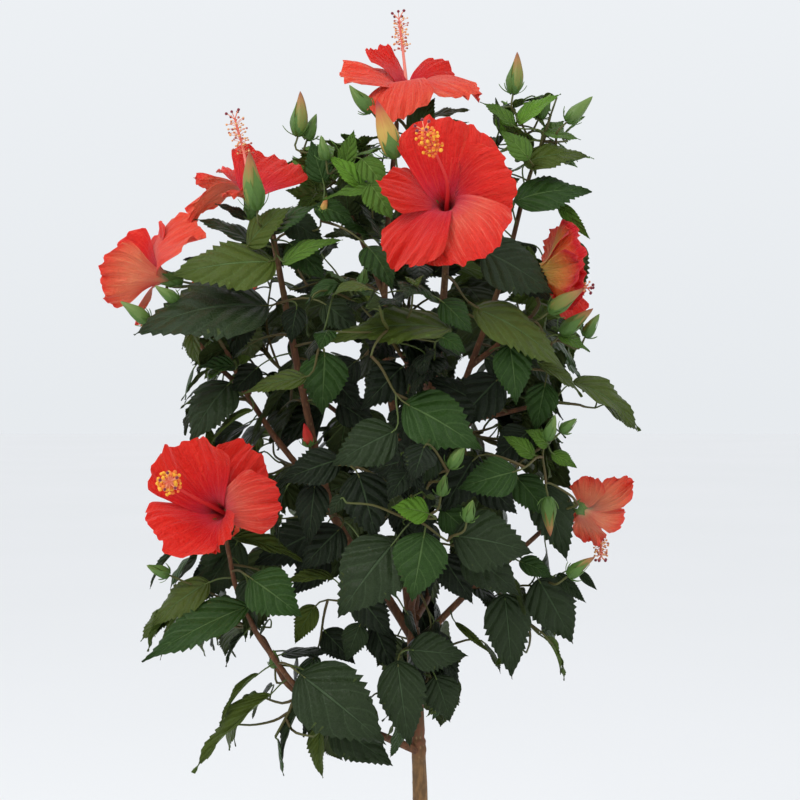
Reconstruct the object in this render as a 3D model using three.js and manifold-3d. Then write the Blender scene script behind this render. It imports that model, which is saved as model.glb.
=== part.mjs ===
// A red-flowered hibiscus shrub grown as a small standard: one straight stem, slender leafy
// boughs that rise from its fork through an open heart, and the masses of foliage and bloom round them.
// Millimetres, +Z up, origin on the ground at the middle of the stem's flat cut. The front is towards -Y.
import * as THREE from "three";
import { mergeVertices } from "three/addons/utils/BufferGeometryUtils.js";
import Module from "manifold-3d";

const wasm = await Module();
wasm.setup();

// ---- Driving dimensions ----
const FORK_HEIGHT = 600; // ground to the fork, where the stem ends
const STEM_RADIUS = 9.5; // of the stem just above its flare
const FORK_RADIUS = 6.8; // of the stem at the fork
const ROOT_FLARE = 7; // how much wider the stem's foot is, on the radius
const FLARE_HEIGHT = 26; // over this height the flare falls to about a third
const SEAT_GAP = 0.4; // between a limb and what it is seated in
const MASS_GAP = 0.6; // between two neighbouring masses of foliage
const BARK_SIDES = 10; // sides of the stem's section
const BOUGH_SIDES = 6;
const RING_PITCH = 50; // along a limb, between its rings
const FLARE_CROWDING = 1.6; // draws the stem's rings down towards its flare
const FACET = 27; // mean edge of a mass's triangles
const MOST_DETAIL = 3; // divisions of an icosahedron's edge on the biggest masses
const LOBES = 12; // bulges on one mass, each about as wide as two leaves
const LOBE_WIDTH = 0.44; // radians
const LOBE_HEIGHT = 0.62; // of the mass's own reach
const SQUARENESS = 2.5; // 2 would be a plain ellipsoid

// ---- Finishes ----
const BARK = { color: 0x8a5f3d, roughness: 0.85, metalness: 0 };
const YOUNG_BARK = { color: 0x6b3426, roughness: 0.7, metalness: 0 };
const LEAF = { color: 0x2f4a2a, roughness: 0.45, metalness: 0 };
const BLOOM = { color: 0xd8352a, roughness: 0.6, metalness: 0 };

// ---- Limbs ----
// Each runs through a few places, and narrows evenly from its base radius to its tip radius.
const STEM = {
  through: [[0, 0, 0], [0, 0, 70], [2, 0, 260], [-1, 0, 440], [-8, 0, FORK_HEIGHT]],
  base: STEM_RADIUS,
  tip: FORK_RADIUS,
};
const FORK = [-8, 0, FORK_HEIGHT - 8];
const BOUGHS = {
  leader: {
    through: [FORK, [-17, 6, 690], [-5, -4, 785], [14, -12, 855], [22, -34, 935], [25, -92, 1004]],
    base: 5.4,
    tip: 3.2,
  },
  left_bough: {
    through: [FORK, [-46, 8, 650], [-84, -6, 705], [-108, -12, 795], [-126, -14, 880], [-150, -16, 1010]],
    base: 5,
    tip: 3,
  },
  left_side_bough: {
    through: [[-88, -7, 716], [-124, 6, 765], [-166, 0, 820], [-192, -34, 880]],
    base: 3.8,
    tip: 2.4,
  },
  left_bloom_bough: {
    through: [[-172, -6, 836], [-222, -2, 884], [-254, 0, 938]],
    base: 2.8,
    tip: 2,
  },
  lower_left_bough: {
    through: [[0, 0, 478], [-40, -26, 500], [-92, -40, 520], [-134, -42, 556], [-158, -36, 602]],
    base: 4.4,
    tip: 3,
  },
  bloom_bough: {
    through: [[-98, -42, 522], [-150, -62, 590], [-176, -66, 640], [-190, -62, 704]],
    base: 3.2,
    tip: 2.2,
  },
  right_low_bough: {
    through: [[-8, 0, 578], [12, -8, 603], [46, -14, 640], [84, -12, 668], [122, -10, 702]],
    base: 4,
    tip: 2.4,
  },
  right_top_bough: {
    through: [[-8, 2, 770], [30, 12, 818], [56, 14, 880], [84, 8, 960], [104, 8, 1040]],
    base: 3.8,
    tip: 2.4,
  },
  right_side_bough: {
    through: [[50, 14, 864], [78, 8, 886], [112, 0, 915]],
    base: 3,
    tip: 2.2,
  },
  right_middle_bough: {
    through: [[18, 8, 806], [62, 2, 812], [110, -12, 824]],
    base: 3,
    tip: 2.2,
  },
  top_bough: {
    through: [[-12, 0, 748], [-34, 16, 850], [-36, 16, 960], [-24, 4, 1110]],
    base: 4,
    tip: 2.6,
  },
  upper_middle_bough: {
    through: [[-37, 17, 935], [-56, 20, 982], [-72, 20, 1022]],
    base: 2.8,
    tip: 2,
  },
  heart_front_bough: {
    through: [[8, -10, 838], [-4, -44, 852], [-22, -88, 876]],
    base: 3,
    tip: 2.2,
  },
  back_bough: {
    through: [FORK, [-4, 42, 660], [-8, 78, 770], [-14, 110, 870]],
    base: 4.6,
    tip: 2.8,
  },
  back_left_bough: {
    through: [[-7, 70, 744], [-66, 88, 800], [-134, 104, 852]],
    base: 3.4,
    tip: 2.2,
  },
  back_right_bough: {
    through: [[-6, 70, 744], [48, 86, 800], [92, 104, 852]],
    base: 3.4,
    tip: 2.2,
  },
  front_waist_bough: {
    through: [[-10, 0, 622], [-4, -36, 655], [-6, -84, 700]],
    base: 3.4,
    tip: 2.4,
  },
  back_waist_bough: {
    through: [[-4, 8, 612], [10, 56, 632], [6, 100, 676]],
    base: 3.4,
    tip: 2.4,
  },
};

// ---- Masses of foliage ----
// Each has its middle and how far it reaches from there, across, front to back and up.
const MASSES = {
  top_bloom: { at: [-16, 0, 1152], reach: [72, 60, 66], bloom: true },
  top_right_shoot: { at: [121, 10, 1092], reach: [56, 62, 88] },
  upper_left_bloom: { at: [-172, -20, 1055], reach: [62, 66, 72], bloom: true },
  upper_middle: { at: [-80, 20, 1048], reach: [54, 85, 62] },
  front_bloom: { at: [25, -120, 1025], reach: [68, 60, 74], bloom: true },
  left_bloom: { at: [-268, 0, 964], reach: [52, 58, 56], bloom: true },
  left_shoulder: { at: [-206, -60, 910], reach: [70, 75, 54] },
  right_shoulder: { at: [131, 0, 940], reach: [50, 72, 70], bloom: true },
  heart_front: { at: [-35, -130, 893], reach: [97, 75, 80] },
  heart_back: { at: [-21, 132, 936], reach: [128, 85, 122] },
  back_left: { at: [-176, 118, 900], reach: [80, 64, 120] },
  back_right: { at: [118, 118, 900], reach: [66, 64, 120] },
  left_middle: { at: [-198, -2, 828], reach: [50, 66, 54] },
  right_middle: { at: [150, -20, 826], reach: [71, 56, 40] },
  waist_left: { at: [-136, 52, 752], reach: [58, 80, 80] },
  waist_right: { at: [95, 64, 790], reach: [54, 80, 88] },
  waist_front: { at: [-10, -128, 730], reach: [98, 75, 88] },
  waist_back: { at: [-21, 135, 715], reach: [130, 82, 108] },
  lower_left_bloom: { at: [-205, -66, 736], reach: [70, 56, 60], bloom: true },
  right_bloom: { at: [155, -10, 728], reach: [60, 62, 74], bloom: true },
  lower_left: { at: [-192, -20, 622], reach: [86, 76, 58] },
  lower_right: { at: [106, -10, 610], reach: [54, 66, 60] },
  foot_left: { at: [-128, -46, 519], reach: [96, 68, 60] },
  foot_front: { at: [4, -50, 548], reach: [48, 46, 72] },
  foot_back: { at: [0, 82, 556], reach: [100, 62, 76] },
};

// A repeatable stream of numbers from 0 to 1.
function randomStream(seed) {
  let state = seed >>> 0;
  return () => {
    state = (state + 0x6d2b79f5) >>> 0;
    let t = Math.imul(state ^ (state >>> 15), state | 1);
    t ^= t + Math.imul(t ^ (t >>> 7), t | 61);
    return ((t ^ (t >>> 14)) >>> 0) / 4294967296;
  };
}

// A three.js geometry as a manifold-3d solid, and back.
function solidOf(geometry) {
  const bare = geometry.clone();
  bare.deleteAttribute("normal");
  bare.deleteAttribute("uv");
  const merged = mergeVertices(bare, 1e-3);
  return new wasm.Manifold(
    new wasm.Mesh({
      numProp: 3,
      vertProperties: merged.attributes.position.array,
      triVerts: new Uint32Array(merged.index.array),
    }),
  );
}

function geometryOf(solid) {
  const { vertProperties, triVerts } = solid.getMesh();
  const geometry = new THREE.BufferGeometry();
  geometry.setAttribute("position", new THREE.BufferAttribute(new Float32Array(vertProperties), 3));
  geometry.setIndex(new THREE.BufferAttribute(new Uint32Array(triVerts), 1));
  geometry.computeVertexNormals();
  return geometry;
}

// What is left of a solid once others are cut away, without the crumbs.
function cutBack(solid, others) {
  const left = others.reduce((kept, other) => kept.subtract(other), solid);
  return left.decompose().reduce((most, piece) => (piece.volume() > most.volume() ? piece : most));
}

// ---- Limb: a cylinder whose rings are moved onto a curve ----
function limbGeometry({ through, base, tip }, sides, { grow = 0, flare = 0, crowding = 1 } = {}) {
  const curve = new THREE.CatmullRomCurve3(through.map((place) => new THREE.Vector3(...place)));
  const rings = Math.max(3, Math.round(curve.getLength() / RING_PITCH));
  const geometry = new THREE.CylinderGeometry(1, 1, 1, sides, rings);
  const frames = curve.computeFrenetFrames(rings);
  const position = geometry.attributes.position;
  const point = new THREE.Vector3();
  for (let i = 0; i < position.count; i++) {
    const along = (position.getY(i) + 0.5) ** crowding;
    const ring = Math.round(along * rings);
    const middle = curve.getPointAt(along);
    const height = middle.z - through[0][2];
    const radius = base + (tip - base) * along + flare * Math.exp(-height / FLARE_HEIGHT) + grow;
    point
      .copy(middle)
      .addScaledVector(frames.normals[ring], position.getX(i) * radius)
      .addScaledVector(frames.binormals[ring], -position.getZ(i) * radius);
    if (along === 0) point.addScaledVector(frames.tangents[ring], -grow);
    if (along === 1) point.addScaledVector(frames.tangents[ring], grow);
    position.setXYZ(i, point.x, point.y, point.z);
  }
  return geometry;
}

// ---- Mass: a ball of lobes, stretched to its reach and held off each neighbour ----
function massGeometry({ at, reach }, seed, neighbours) {
  const random = randomStream(seed);
  const lobes = Array.from({ length: LOBES }, () => {
    const up = 2 * random() - 1;
    const turn = 2 * Math.PI * random();
    const level = Math.sqrt(1 - up * up);
    const axis = new THREE.Vector3(level * Math.cos(turn), level * Math.sin(turn), up);
    return { axis, height: LOBE_HEIGHT * (0.3 + 0.7 * random()) };
  });
  const size = Math.cbrt(reach[0] * reach[1] * reach[2]);
  const geometry = new THREE.IcosahedronGeometry(1, Math.min(MOST_DETAIL, Math.round(size / FACET)));
  const position = geometry.attributes.position;
  const point = new THREE.Vector3();
  for (let i = 0; i < position.count; i++) {
    point.fromBufferAttribute(position, i).normalize();
    const bulge = Math.max(
      ...lobes.map(({ axis, height }) => height * Math.exp(-((point.angleTo(axis) / LOBE_WIDTH) ** 2))),
    );
    const power = point.toArray().reduce((sum, part) => sum + Math.abs(part) ** SQUARENESS, 0);
    point.multiplyScalar((1 + bulge) / power ** (1 / SQUARENESS));
    position.setXYZ(i, point.x, point.y, point.z);
  }
  geometry.computeBoundingBox();
  const { min, max } = geometry.boundingBox;
  const middle = new THREE.Vector3(...at);
  const walls = neighbours.map((other) => wallBetween({ at, reach }, other));
  for (let i = 0; i < position.count; i++) {
    point.fromBufferAttribute(position, i);
    ["x", "y", "z"].forEach((axis, n) => {
      point[axis] *= reach[n] / (point[axis] < 0 ? -min[axis] : max[axis]);
    });
    const share = Math.min(
      1,
      ...walls.map(({ normal, room }) => {
        const out = point.dot(normal);
        return out > room ? room / out : 1;
      }),
    );
    point.multiplyScalar(share).add(middle);
    position.setXYZ(i, point.x, point.y, point.z);
  }
  return geometry;
}

// The flat wall between two masses, where each would reach as large a share of its own size:
// its normal, and the room that the first has before it.
function wallBetween(mine, other) {
  const normal = new THREE.Vector3(...other.at).sub(new THREE.Vector3(...mine.at));
  const apart = normal.length();
  normal.divideScalar(apart);
  const span = ({ reach }) => 1 / Math.hypot(normal.x / reach[0], normal.y / reach[1], normal.z / reach[2]);
  const share = span(mine) / (span(mine) + span(other));
  return { normal, room: apart * share - MASS_GAP / 2 };
}

// ---- Assembly ----
const shrub = new THREE.Group();

function add(name, solid, finish) {
  const mesh = new THREE.Mesh(geometryOf(solid), new THREE.MeshStandardMaterial(finish));
  mesh.name = name;
  shrub.add(mesh);
}

const foot = { flare: ROOT_FLARE, crowding: FLARE_CROWDING };
const seats = [solidOf(limbGeometry(STEM, BARK_SIDES, { ...foot, grow: SEAT_GAP }))];
add("stem", solidOf(limbGeometry(STEM, BARK_SIDES, foot)), BARK);
for (const [name, bough] of Object.entries(BOUGHS)) {
  add(name, cutBack(solidOf(limbGeometry(bough, BOUGH_SIDES)), seats), YOUNG_BARK);
  seats.push(solidOf(limbGeometry(bough, BOUGH_SIDES, { grow: SEAT_GAP })));
}
Object.entries(MASSES).forEach(([name, mass], index) => {
  const neighbours = Object.values(MASSES).filter((other) => other !== mass);
  const whole = solidOf(massGeometry(mass, index + 1, neighbours));
  add(name + "_mass", cutBack(whole, seats), mass.bloom ? BLOOM : LEAF);
});

export default shrub;
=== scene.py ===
"""Looks of a red-flowered hibiscus grown as a small standard, made round its CAD frame.

Lengths are millimetres until a mesh is made, and the plant's front faces -Y. The bark follows the CAD
limbs. Shoots grow on from the limbs into each mass of foliage by a seeded rule and carry leaves, which
stay inside the masses and leave the crown's gaps open. The leaves that give the crown its outline and its
front have places of their own, and so do the flowers and buds, which end shoots of their own.
"""
import math

import bpy
import numpy as np
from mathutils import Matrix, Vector
from mathutils.bvhtree import BVHTree
from mathutils.kdtree import KDTree


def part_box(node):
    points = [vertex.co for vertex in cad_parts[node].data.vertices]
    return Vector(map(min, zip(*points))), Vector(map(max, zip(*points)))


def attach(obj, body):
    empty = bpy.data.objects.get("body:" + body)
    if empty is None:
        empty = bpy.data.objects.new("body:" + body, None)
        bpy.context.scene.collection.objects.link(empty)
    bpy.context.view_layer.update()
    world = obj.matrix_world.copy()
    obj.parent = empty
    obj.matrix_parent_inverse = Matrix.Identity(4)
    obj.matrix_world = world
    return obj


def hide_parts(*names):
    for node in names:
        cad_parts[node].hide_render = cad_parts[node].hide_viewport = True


MM = 0.001
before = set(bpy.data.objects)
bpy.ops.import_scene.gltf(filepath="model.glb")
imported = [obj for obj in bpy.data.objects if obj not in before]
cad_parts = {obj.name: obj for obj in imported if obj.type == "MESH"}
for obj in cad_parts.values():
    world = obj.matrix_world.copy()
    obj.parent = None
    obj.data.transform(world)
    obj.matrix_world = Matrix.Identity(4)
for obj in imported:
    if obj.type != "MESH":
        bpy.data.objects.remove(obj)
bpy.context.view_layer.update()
rng = np.random.default_rng(11)

LIMBS = [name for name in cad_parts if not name.endswith("_mass")]
MASSES = [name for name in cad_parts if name.endswith("_mass")]
UP = np.array([0.0, 0.0, 1.0])

# The eye level with the crown's middle, in front of it. The crown's gaps are open from here.
EYE = np.array([-21.0, -1700.0, 830.0])

# The middle of the crown, how far it reaches, and in x and z how far the painted shade inside it reaches.
HEART = np.array([-30.0, 0.0, 790.0])
SPREAD = np.array([250.0, 190.0, 330.0])
PAINTED_SHADE_REACH = np.array([165.0, 320.0])


# ---- Small sums ----
def unit(v):
    """Vectors at length 1."""
    v = np.asarray(v, float)
    return v / np.maximum(np.linalg.norm(v, axis=-1, keepdims=True), 1e-9)


def ramp(x, low, high):
    """0 below low, 1 above high, and smooth between."""
    t = np.clip((x - low) / (high - low), 0, 1)
    return t * t * (3 - 2 * t)


def across(axis, hint):
    """The unit vector square to axis that leans most towards hint."""
    return unit(hint - np.sum(hint * axis, -1, keepdims=True) * axis)


def outwards(point):
    """The way that leaves at a point face to look out of the crown."""
    return unit((np.asarray(point, float) - HEART) / SPREAD)


def box_of(node):
    """A CAD node's lowest and highest corners."""
    low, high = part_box(node)
    return np.array(low) / MM, np.array(high) / MM


def turned(points, angle):
    """Points turned about the stem's axis."""
    x, y = points[..., 0], points[..., 1]
    cos, sin = math.cos(angle), math.sin(angle)
    return np.stack([cos * x - sin * y, sin * x + cos * y, points[..., 2]], -1)


def seen_at(points):
    """Where points show from the eye on the plane of the stem, as x and z."""
    near = -EYE[1] / (points[..., 1] - EYE[1])
    return EYE[[0, 2]] + (points[..., [0, 2]] - EYE[[0, 2]]) * near[..., None]


def shown(x, z, y):
    """The place at depth y that shows from the eye at x, z on the plane of the stem."""
    return EYE + (np.array([x, 0.0, z]) - EYE) * (1 - y / EYE[1])


def curve_through(places, count):
    """A smooth path through a few places, as count points evenly along it."""
    places = np.asarray(places, float)
    ends = np.concatenate([[2 * places[0] - places[1]], places, [2 * places[-1] - places[-2]]])
    t = np.linspace(0, 1, 12, endpoint=False)[:, None]
    fine = [
        b + (c - a) * t / 2 + (2 * a - 5 * b + 4 * c - d) * t**2 / 2 + (3 * b - a - 3 * c + d) * t**3 / 2
        for a, b, c, d in zip(ends, ends[1:], ends[2:], ends[3:])
    ]
    return evenly(np.concatenate(fine + [places[-1:]]), count)


def arched(start, leave, arrive, end, count):
    """A path from start towards leave, which comes to its end from arrive."""
    t = np.linspace(0, 1, count)[:, None]
    return (1 - t) ** 3 * start + 3 * t * (1 - t) ** 2 * leave + 3 * t**2 * (1 - t) * arrive + t**3 * end


def arc_lengths(path):
    """How far along a path each of its points is."""
    return np.concatenate([[0], np.cumsum(np.linalg.norm(np.diff(path, axis=0), axis=1))])


def evenly(path, count):
    """Count points at even distances along a path."""
    length = arc_lengths(path)
    even = np.linspace(0, length[-1], count)
    return np.stack([np.interp(even, length, path[:, i]) for i in range(3)], 1)


# ---- Meshes ----
SHARP_ANGLE = math.radians(55)
TILE_MARGIN = 0.02


class Pile:
    """Many small shapes, gathered as arrays for joined meshes."""

    MOST_TRIANGLES = 190_000

    def __init__(self):
        self.parts = []

    def add(self, points, faces, slots=0, blade=None):
        """points n x 3, quads m x 4 of their numbers, a material slot for all or each, blade n x 2."""
        slots = np.broadcast_to(slots, len(faces))
        blade = np.zeros((len(points), 2)) if blade is None else blade
        self.parts.append((points, faces, slots, blade))

    def build(self, name, materials, mapped=True):
        """Joins the shapes, in as many pieces as the limit on triangles needs."""
        triangles = np.cumsum([2 * len(faces) for _, faces, _, _ in self.parts])
        group = (triangles - 1) // self.MOST_TRIANGLES
        pieces = []
        for i in range(group[-1] + 1):
            parts = [part for part, g in zip(self.parts, group) if g == i]
            label = name if group[-1] == 0 else f"{name}_{i + 1}"
            pieces.append(joined(label, parts, materials, mapped))
        return pieces


def joined(name, parts, materials, mapped):
    """One piece made of the shapes in parts, with the maps that their patterns lie on."""
    firsts = np.cumsum([0] + [len(points) for points, _, _, _ in parts[:-1]])
    points = np.concatenate([part[0] for part in parts]) * MM
    faces = np.concatenate([part[1] + first for part, first in zip(parts, firsts)])
    slots = np.concatenate([part[2] for part in parts])
    blade = np.concatenate([part[3] for part in parts])

    mesh = bpy.data.meshes.new(name)
    mesh.vertices.add(len(points))
    mesh.vertices.foreach_set("co", points.ravel())
    mesh.loops.add(faces.size)
    mesh.loops.foreach_set("vertex_index", faces.ravel().astype(np.int32))
    mesh.polygons.add(len(faces))
    mesh.polygons.foreach_set("loop_start", np.arange(0, faces.size, 4, dtype=np.int32))
    for material in materials:
        mesh.materials.append(material)
    mesh.polygons.foreach_set("material_index", slots.astype(np.int32))
    mesh.update(calc_edges=True)
    if mapped:
        corners = blade[faces.ravel()]
        mesh.uv_layers.new(name="blade").data.foreach_set("uv", corners.ravel())
        # Each material has a tile of its own on this map.
        tiles = math.ceil(math.sqrt(len(materials)))
        tile = np.repeat(slots, 4)
        inside = TILE_MARGIN + (1 - 2 * TILE_MARGIN) * np.clip(corners, 0, 1)
        kept = np.stack([tile % tiles, tile // tiles], 1) + inside
        mesh.uv_layers.new(name="OFBake").data.foreach_set("uv", (kept / tiles).ravel())
    mesh.polygons.foreach_set("use_smooth", np.ones(len(faces), bool))
    mesh.set_sharp_from_angle(angle=SHARP_ANGLE)
    piece = bpy.data.objects.new(name, mesh)
    bpy.context.scene.collection.objects.link(piece)
    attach(piece, "root")
    return piece


def add_sheets(pile, middles, thickness, slots, under_slots, blade):
    """Adds thin closed sheets from their middle surfaces, n x rows x cols x 3.

    Their upper sides look along cols x rows."""
    _, rows, cols, _ = middles.shape
    normals = unit(np.cross(np.gradient(middles, axis=2), np.gradient(middles, axis=1)))
    grid = np.arange(rows * cols).reshape(rows, cols)
    top = np.stack([grid[:-1, :-1], grid[:-1, 1:], grid[1:, 1:], grid[1:, :-1]], -1).reshape(-1, 4)
    edge = np.concatenate([grid[0, :-1], grid[:-1, -1], grid[-1, :0:-1], grid[:0:-1, 0]])
    ahead = np.roll(edge, -1)
    rim = np.stack([ahead, edge, edge + grid.size, ahead + grid.size], -1)
    faces = np.concatenate([top, rim, top[:, ::-1] + grid.size])
    blade = np.tile(blade.reshape(-1, 2), (2, 1))
    for middle, normal, slot, under in zip(middles, normals, slots, under_slots):
        both = np.stack([middle + normal * thickness / 2, middle - normal * thickness / 2])
        kinds = np.repeat([slot, under], [len(top) + len(rim), len(top)])
        pile.add(both.reshape(-1, 3), faces, kinds, blade)


def rings(path, sides):
    """The unit vectors from each point of a path to a ring of corners round it, which doesn't spin."""
    along = unit(np.gradient(np.asarray(path, float), axis=0))
    side = np.empty_like(along)
    # To begin with, the hint is any direction in which no path starts.
    hint = np.array([0.31, -0.88, 0.36])
    for i, axis in enumerate(along):
        hint = side[i] = across(axis, hint)
    turn = 2 * math.pi * np.arange(sides) / sides
    other = np.cross(along, side)
    return side[:, None] * np.cos(turn)[:, None] + other[:, None] * np.sin(turn)[:, None]


def add_tube(pile, path, radii, sides=6, slot=0):
    """Adds a closed tube. radii is one a point of the path, or one for each corner. sides is even."""
    radii = np.asarray(radii, float)
    radii = radii[:, None] if radii.ndim == 1 else radii
    points = np.asarray(path, float)[:, None] + rings(path, sides) * radii[..., None]
    rows = len(path)
    grid = np.arange(rows * sides).reshape(rows, sides)
    ahead = np.roll(grid, -1, 1)
    walls = np.stack([grid[:-1], ahead[:-1], ahead[1:], grid[1:]], -1).reshape(-1, 4)
    ends = [
        [ring[0], ring[i], ring[i + 1], ring[i + 2]]
        for ring in (grid[0, ::-1], grid[-1])
        for i in range(1, sides - 2, 2)
    ]
    along = np.repeat(np.linspace(0, 1, rows), sides)
    round_it = np.tile(np.arange(sides) / sides, rows)
    pile.add(points.reshape(-1, 3), np.concatenate([walls, ends]), slot, np.stack([along, round_it], 1))


# ---- Materials ----
def linear(red, green, blue):
    """A colour from 0 to 255 as it looks, in the linear values that shaders take."""
    c = np.array([red, green, blue]) / 255
    values = np.where(c > 0.04045, ((c + 0.055) / 1.055) ** 2.4, c / 12.92)
    return (*values.tolist(), 1.0)


def scaled(colour, factor):
    """A linear colour made lighter or darker by a factor."""
    return (*[c * factor for c in colour[:3]], 1.0)


class Finish:
    """A material and short ways to make its nodes."""

    def __init__(self, name, **numbers):
        self.material = bpy.data.materials.new(name)
        self.material.use_nodes = True
        self.tree = self.material.node_tree
        self.shader = self.tree.nodes["Principled BSDF"]
        for socket, value in numbers.items():
            self.shader.inputs[socket.replace("_", " ")].default_value = value

    def node(self, kind, inputs, **settings):
        """A node, with each input linked to another node's output or set to a value."""
        node = self.tree.nodes.new("ShaderNode" + kind)
        for key, value in settings.items():
            setattr(node, key, value)
        for socket, value in inputs.items():
            if isinstance(value, bpy.types.NodeSocket):
                self.tree.links.new(value, node.inputs[socket])
            else:
                node.inputs[socket].default_value = value
        return node

    def math(self, operation, *values):
        """A Math node's result, such as math("POWER", a, 2)."""
        return self.node("Math", dict(enumerate(values)), operation=operation).outputs[0]

    def times(self, a, b):
        return self.math("MULTIPLY", a, b)

    def plus(self, a, b):
        return self.math("ADD", a, b)

    def line(self, value, slope, start):
        """Start where value is 0, and slope more for each 1 of it."""
        return self.math("MULTIPLY_ADD", value, slope, start)

    def above(self, value, low, high):
        """0 where value is at low, 1 at high, and smooth between."""
        inputs = {"Value": value, "From Min": low, "From Max": high}
        return self.node("MapRange", inputs, interpolation_type="SMOOTHSTEP").outputs[0]

    def below(self, value, low, high):
        """1 where value is at low, 0 at high, and smooth between."""
        return self.math("SUBTRACT", 1.0, self.above(value, low, high))

    def blade(self):
        """How far along the blade, and how far across it, both 0 to 1, and both as a vector."""
        vector = self.node("UVMap", {}, uv_map="blade").outputs[0]
        parts = self.node("SeparateXYZ", {0: vector})
        return parts.outputs[0], parts.outputs[1], vector

    def place(self):
        """The place in the plant's frame, in metres."""
        return self.node("TexCoord", {}).outputs["Object"]

    def stretched(self, vector, x, y, z=1.0):
        """A vector whose patterns come out finer by x, y and z."""
        inputs = {0: vector, 1: (x, y, z)}
        return self.node("VectorMath", inputs, operation="MULTIPLY").outputs[0]

    def noise(self, vector, scale, detail=3.0, roughness=0.55):
        inputs = {"Vector": vector, "Scale": scale, "Detail": detail, "Roughness": roughness}
        return self.node("TexNoise", inputs).outputs["Fac"]

    def cells(self, vector, scale, feature="F1"):
        """Distances from the middles of small cells, or from their edges."""
        inputs = {"Vector": vector, "Scale": scale}
        return self.node("TexVoronoi", inputs, feature=feature).outputs[0]

    def mix(self, share, low, high, blend="MIX"):
        """Colour low where share is 0, and high where it is 1."""
        inputs = {0: share, 6: low, 7: high}
        return self.node("Mix", inputs, data_type="RGBA", blend_type=blend).outputs[2]

    def ramp(self, value, *stops):
        """Colours along value: each stop is a position, red, green and blue."""
        node = self.node("ValToRGB", {0: value})
        elements = node.color_ramp.elements
        while len(elements) < len(stops):
            elements.new(0.5)
        for element, (position, *colour) in zip(elements, stops):
            element.position = position
            element.color = linear(*colour)
        return node.outputs[0]

    def link(self, socket, value):
        """Gives the shader's socket another node's output."""
        self.tree.links.new(value, self.shader.inputs[socket])

    def relief(self, height, depth, strength=1.0):
        """Bumps from a height of 0 to 1, depth millimetres deep."""
        inputs = {"Height": height, "Distance": depth * MM, "Strength": strength}
        self.link("Normal", self.node("Bump", inputs).outputs[0])


VEIN_PAIRS = 4.3
GREY_VEINS, GREEN_VEINS, BRIGHT_VEINS = (66, 84, 56), (86, 112, 62), (120, 152, 74)

# The colour, veins and roughness of each shade of leaf, darkest first, and which underside it has.
# The darkest shades also carry the painted shade on the leaves inside the crown.
LEAF_LOOKS = {
    "dark": ((17, 25, 12), GREY_VEINS, 0.44, "under_dark"),
    "deep": ((31, 43, 21), GREY_VEINS, 0.44, "under_dark"),
    "mid": ((33, 57, 17), GREEN_VEINS, 0.46, "under_dark"),
    "olive": ((61, 73, 20), GREEN_VEINS, 0.48, "under_light"),
    "fresh": ((68, 98, 28), BRIGHT_VEINS, 0.48, "under_light"),
    "young": ((86, 126, 34), BRIGHT_VEINS, 0.5, "under_light"),
    "under_dark": ((52, 62, 28), GREEN_VEINS, 0.6, None),
    "under_light": ((76, 94, 36), BRIGHT_VEINS, 0.58, None),
}
SHADES = list(LEAF_LOOKS)
UPPER_SHADES = 6


def leaf_finish(shade):
    """A blade with a midrib, slanting side veins, a fine net between them and a quilted surface."""
    blade_colour, vein_colour, roughness, under_side = LEAF_LOOKS[shade]
    blade_colour, vein_colour = linear(*blade_colour), linear(*vein_colour)
    under = under_side is None
    f = Finish("leaf_" + shade, Specular_IOR_Level=0.22, IOR=1.43)
    along, over, vector = f.blade()
    from_midrib = f.math("ABSOLUTE", f.line(over, 2.0, -1.0))
    midrib = f.below(f.math("DIVIDE", from_midrib, f.line(along, -0.045, 0.065)), 0.45, 1.0)

    # The side veins leave the midrib at a slant, evenly apart but for a slight wander.
    slant = f.times(f.line(along, -0.3, 0.56), f.math("POWER", from_midrib, 1.15))
    wander = f.line(f.noise(vector, 2.6), 0.14, -0.07)
    drawn = f.math("SUBTRACT", f.plus(along, wander), slant)
    gap = f.math("PINGPONG", f.line(drawn, VEIN_PAIRS, 0.02), 0.5)
    side_veins = f.below(gap, 0.01, 0.06)
    net = f.below(f.cells(f.stretched(vector, 1.5, 1.0), 26.0, "DISTANCE_TO_EDGE"), 0.0, 0.12)

    blotch = f.noise(vector, 4.5, 4.0)
    lit = f.mix(blotch, blade_colour, scaled(blade_colour, 1.55))
    netted = f.mix(f.times(net, 0.16), lit, vein_colour)
    veins = f.math("MAXIMUM", f.times(side_veins, 0.26), f.times(midrib, 0.7))
    f.link("Base Color", f.mix(veins, netted, vein_colour))
    f.link("Roughness", f.line(blotch, 0.3, roughness - 0.2))

    # Veins are sunk into the upper side and stand proud below.
    pillow = f.times(f.above(gap, 0.0, 0.5), -1.0 if under else 1.0)
    rib = f.times(midrib, 0.9 if under else -0.8)
    raised = f.plus(f.plus(pillow, f.times(net, -0.1)), rib)
    crease = f.noise(f.stretched(vector, 1.6, 1.0), 7.0, 3.0)
    f.relief(f.plus(raised, crease), 2.0, 0.9)
    return f.material


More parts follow.
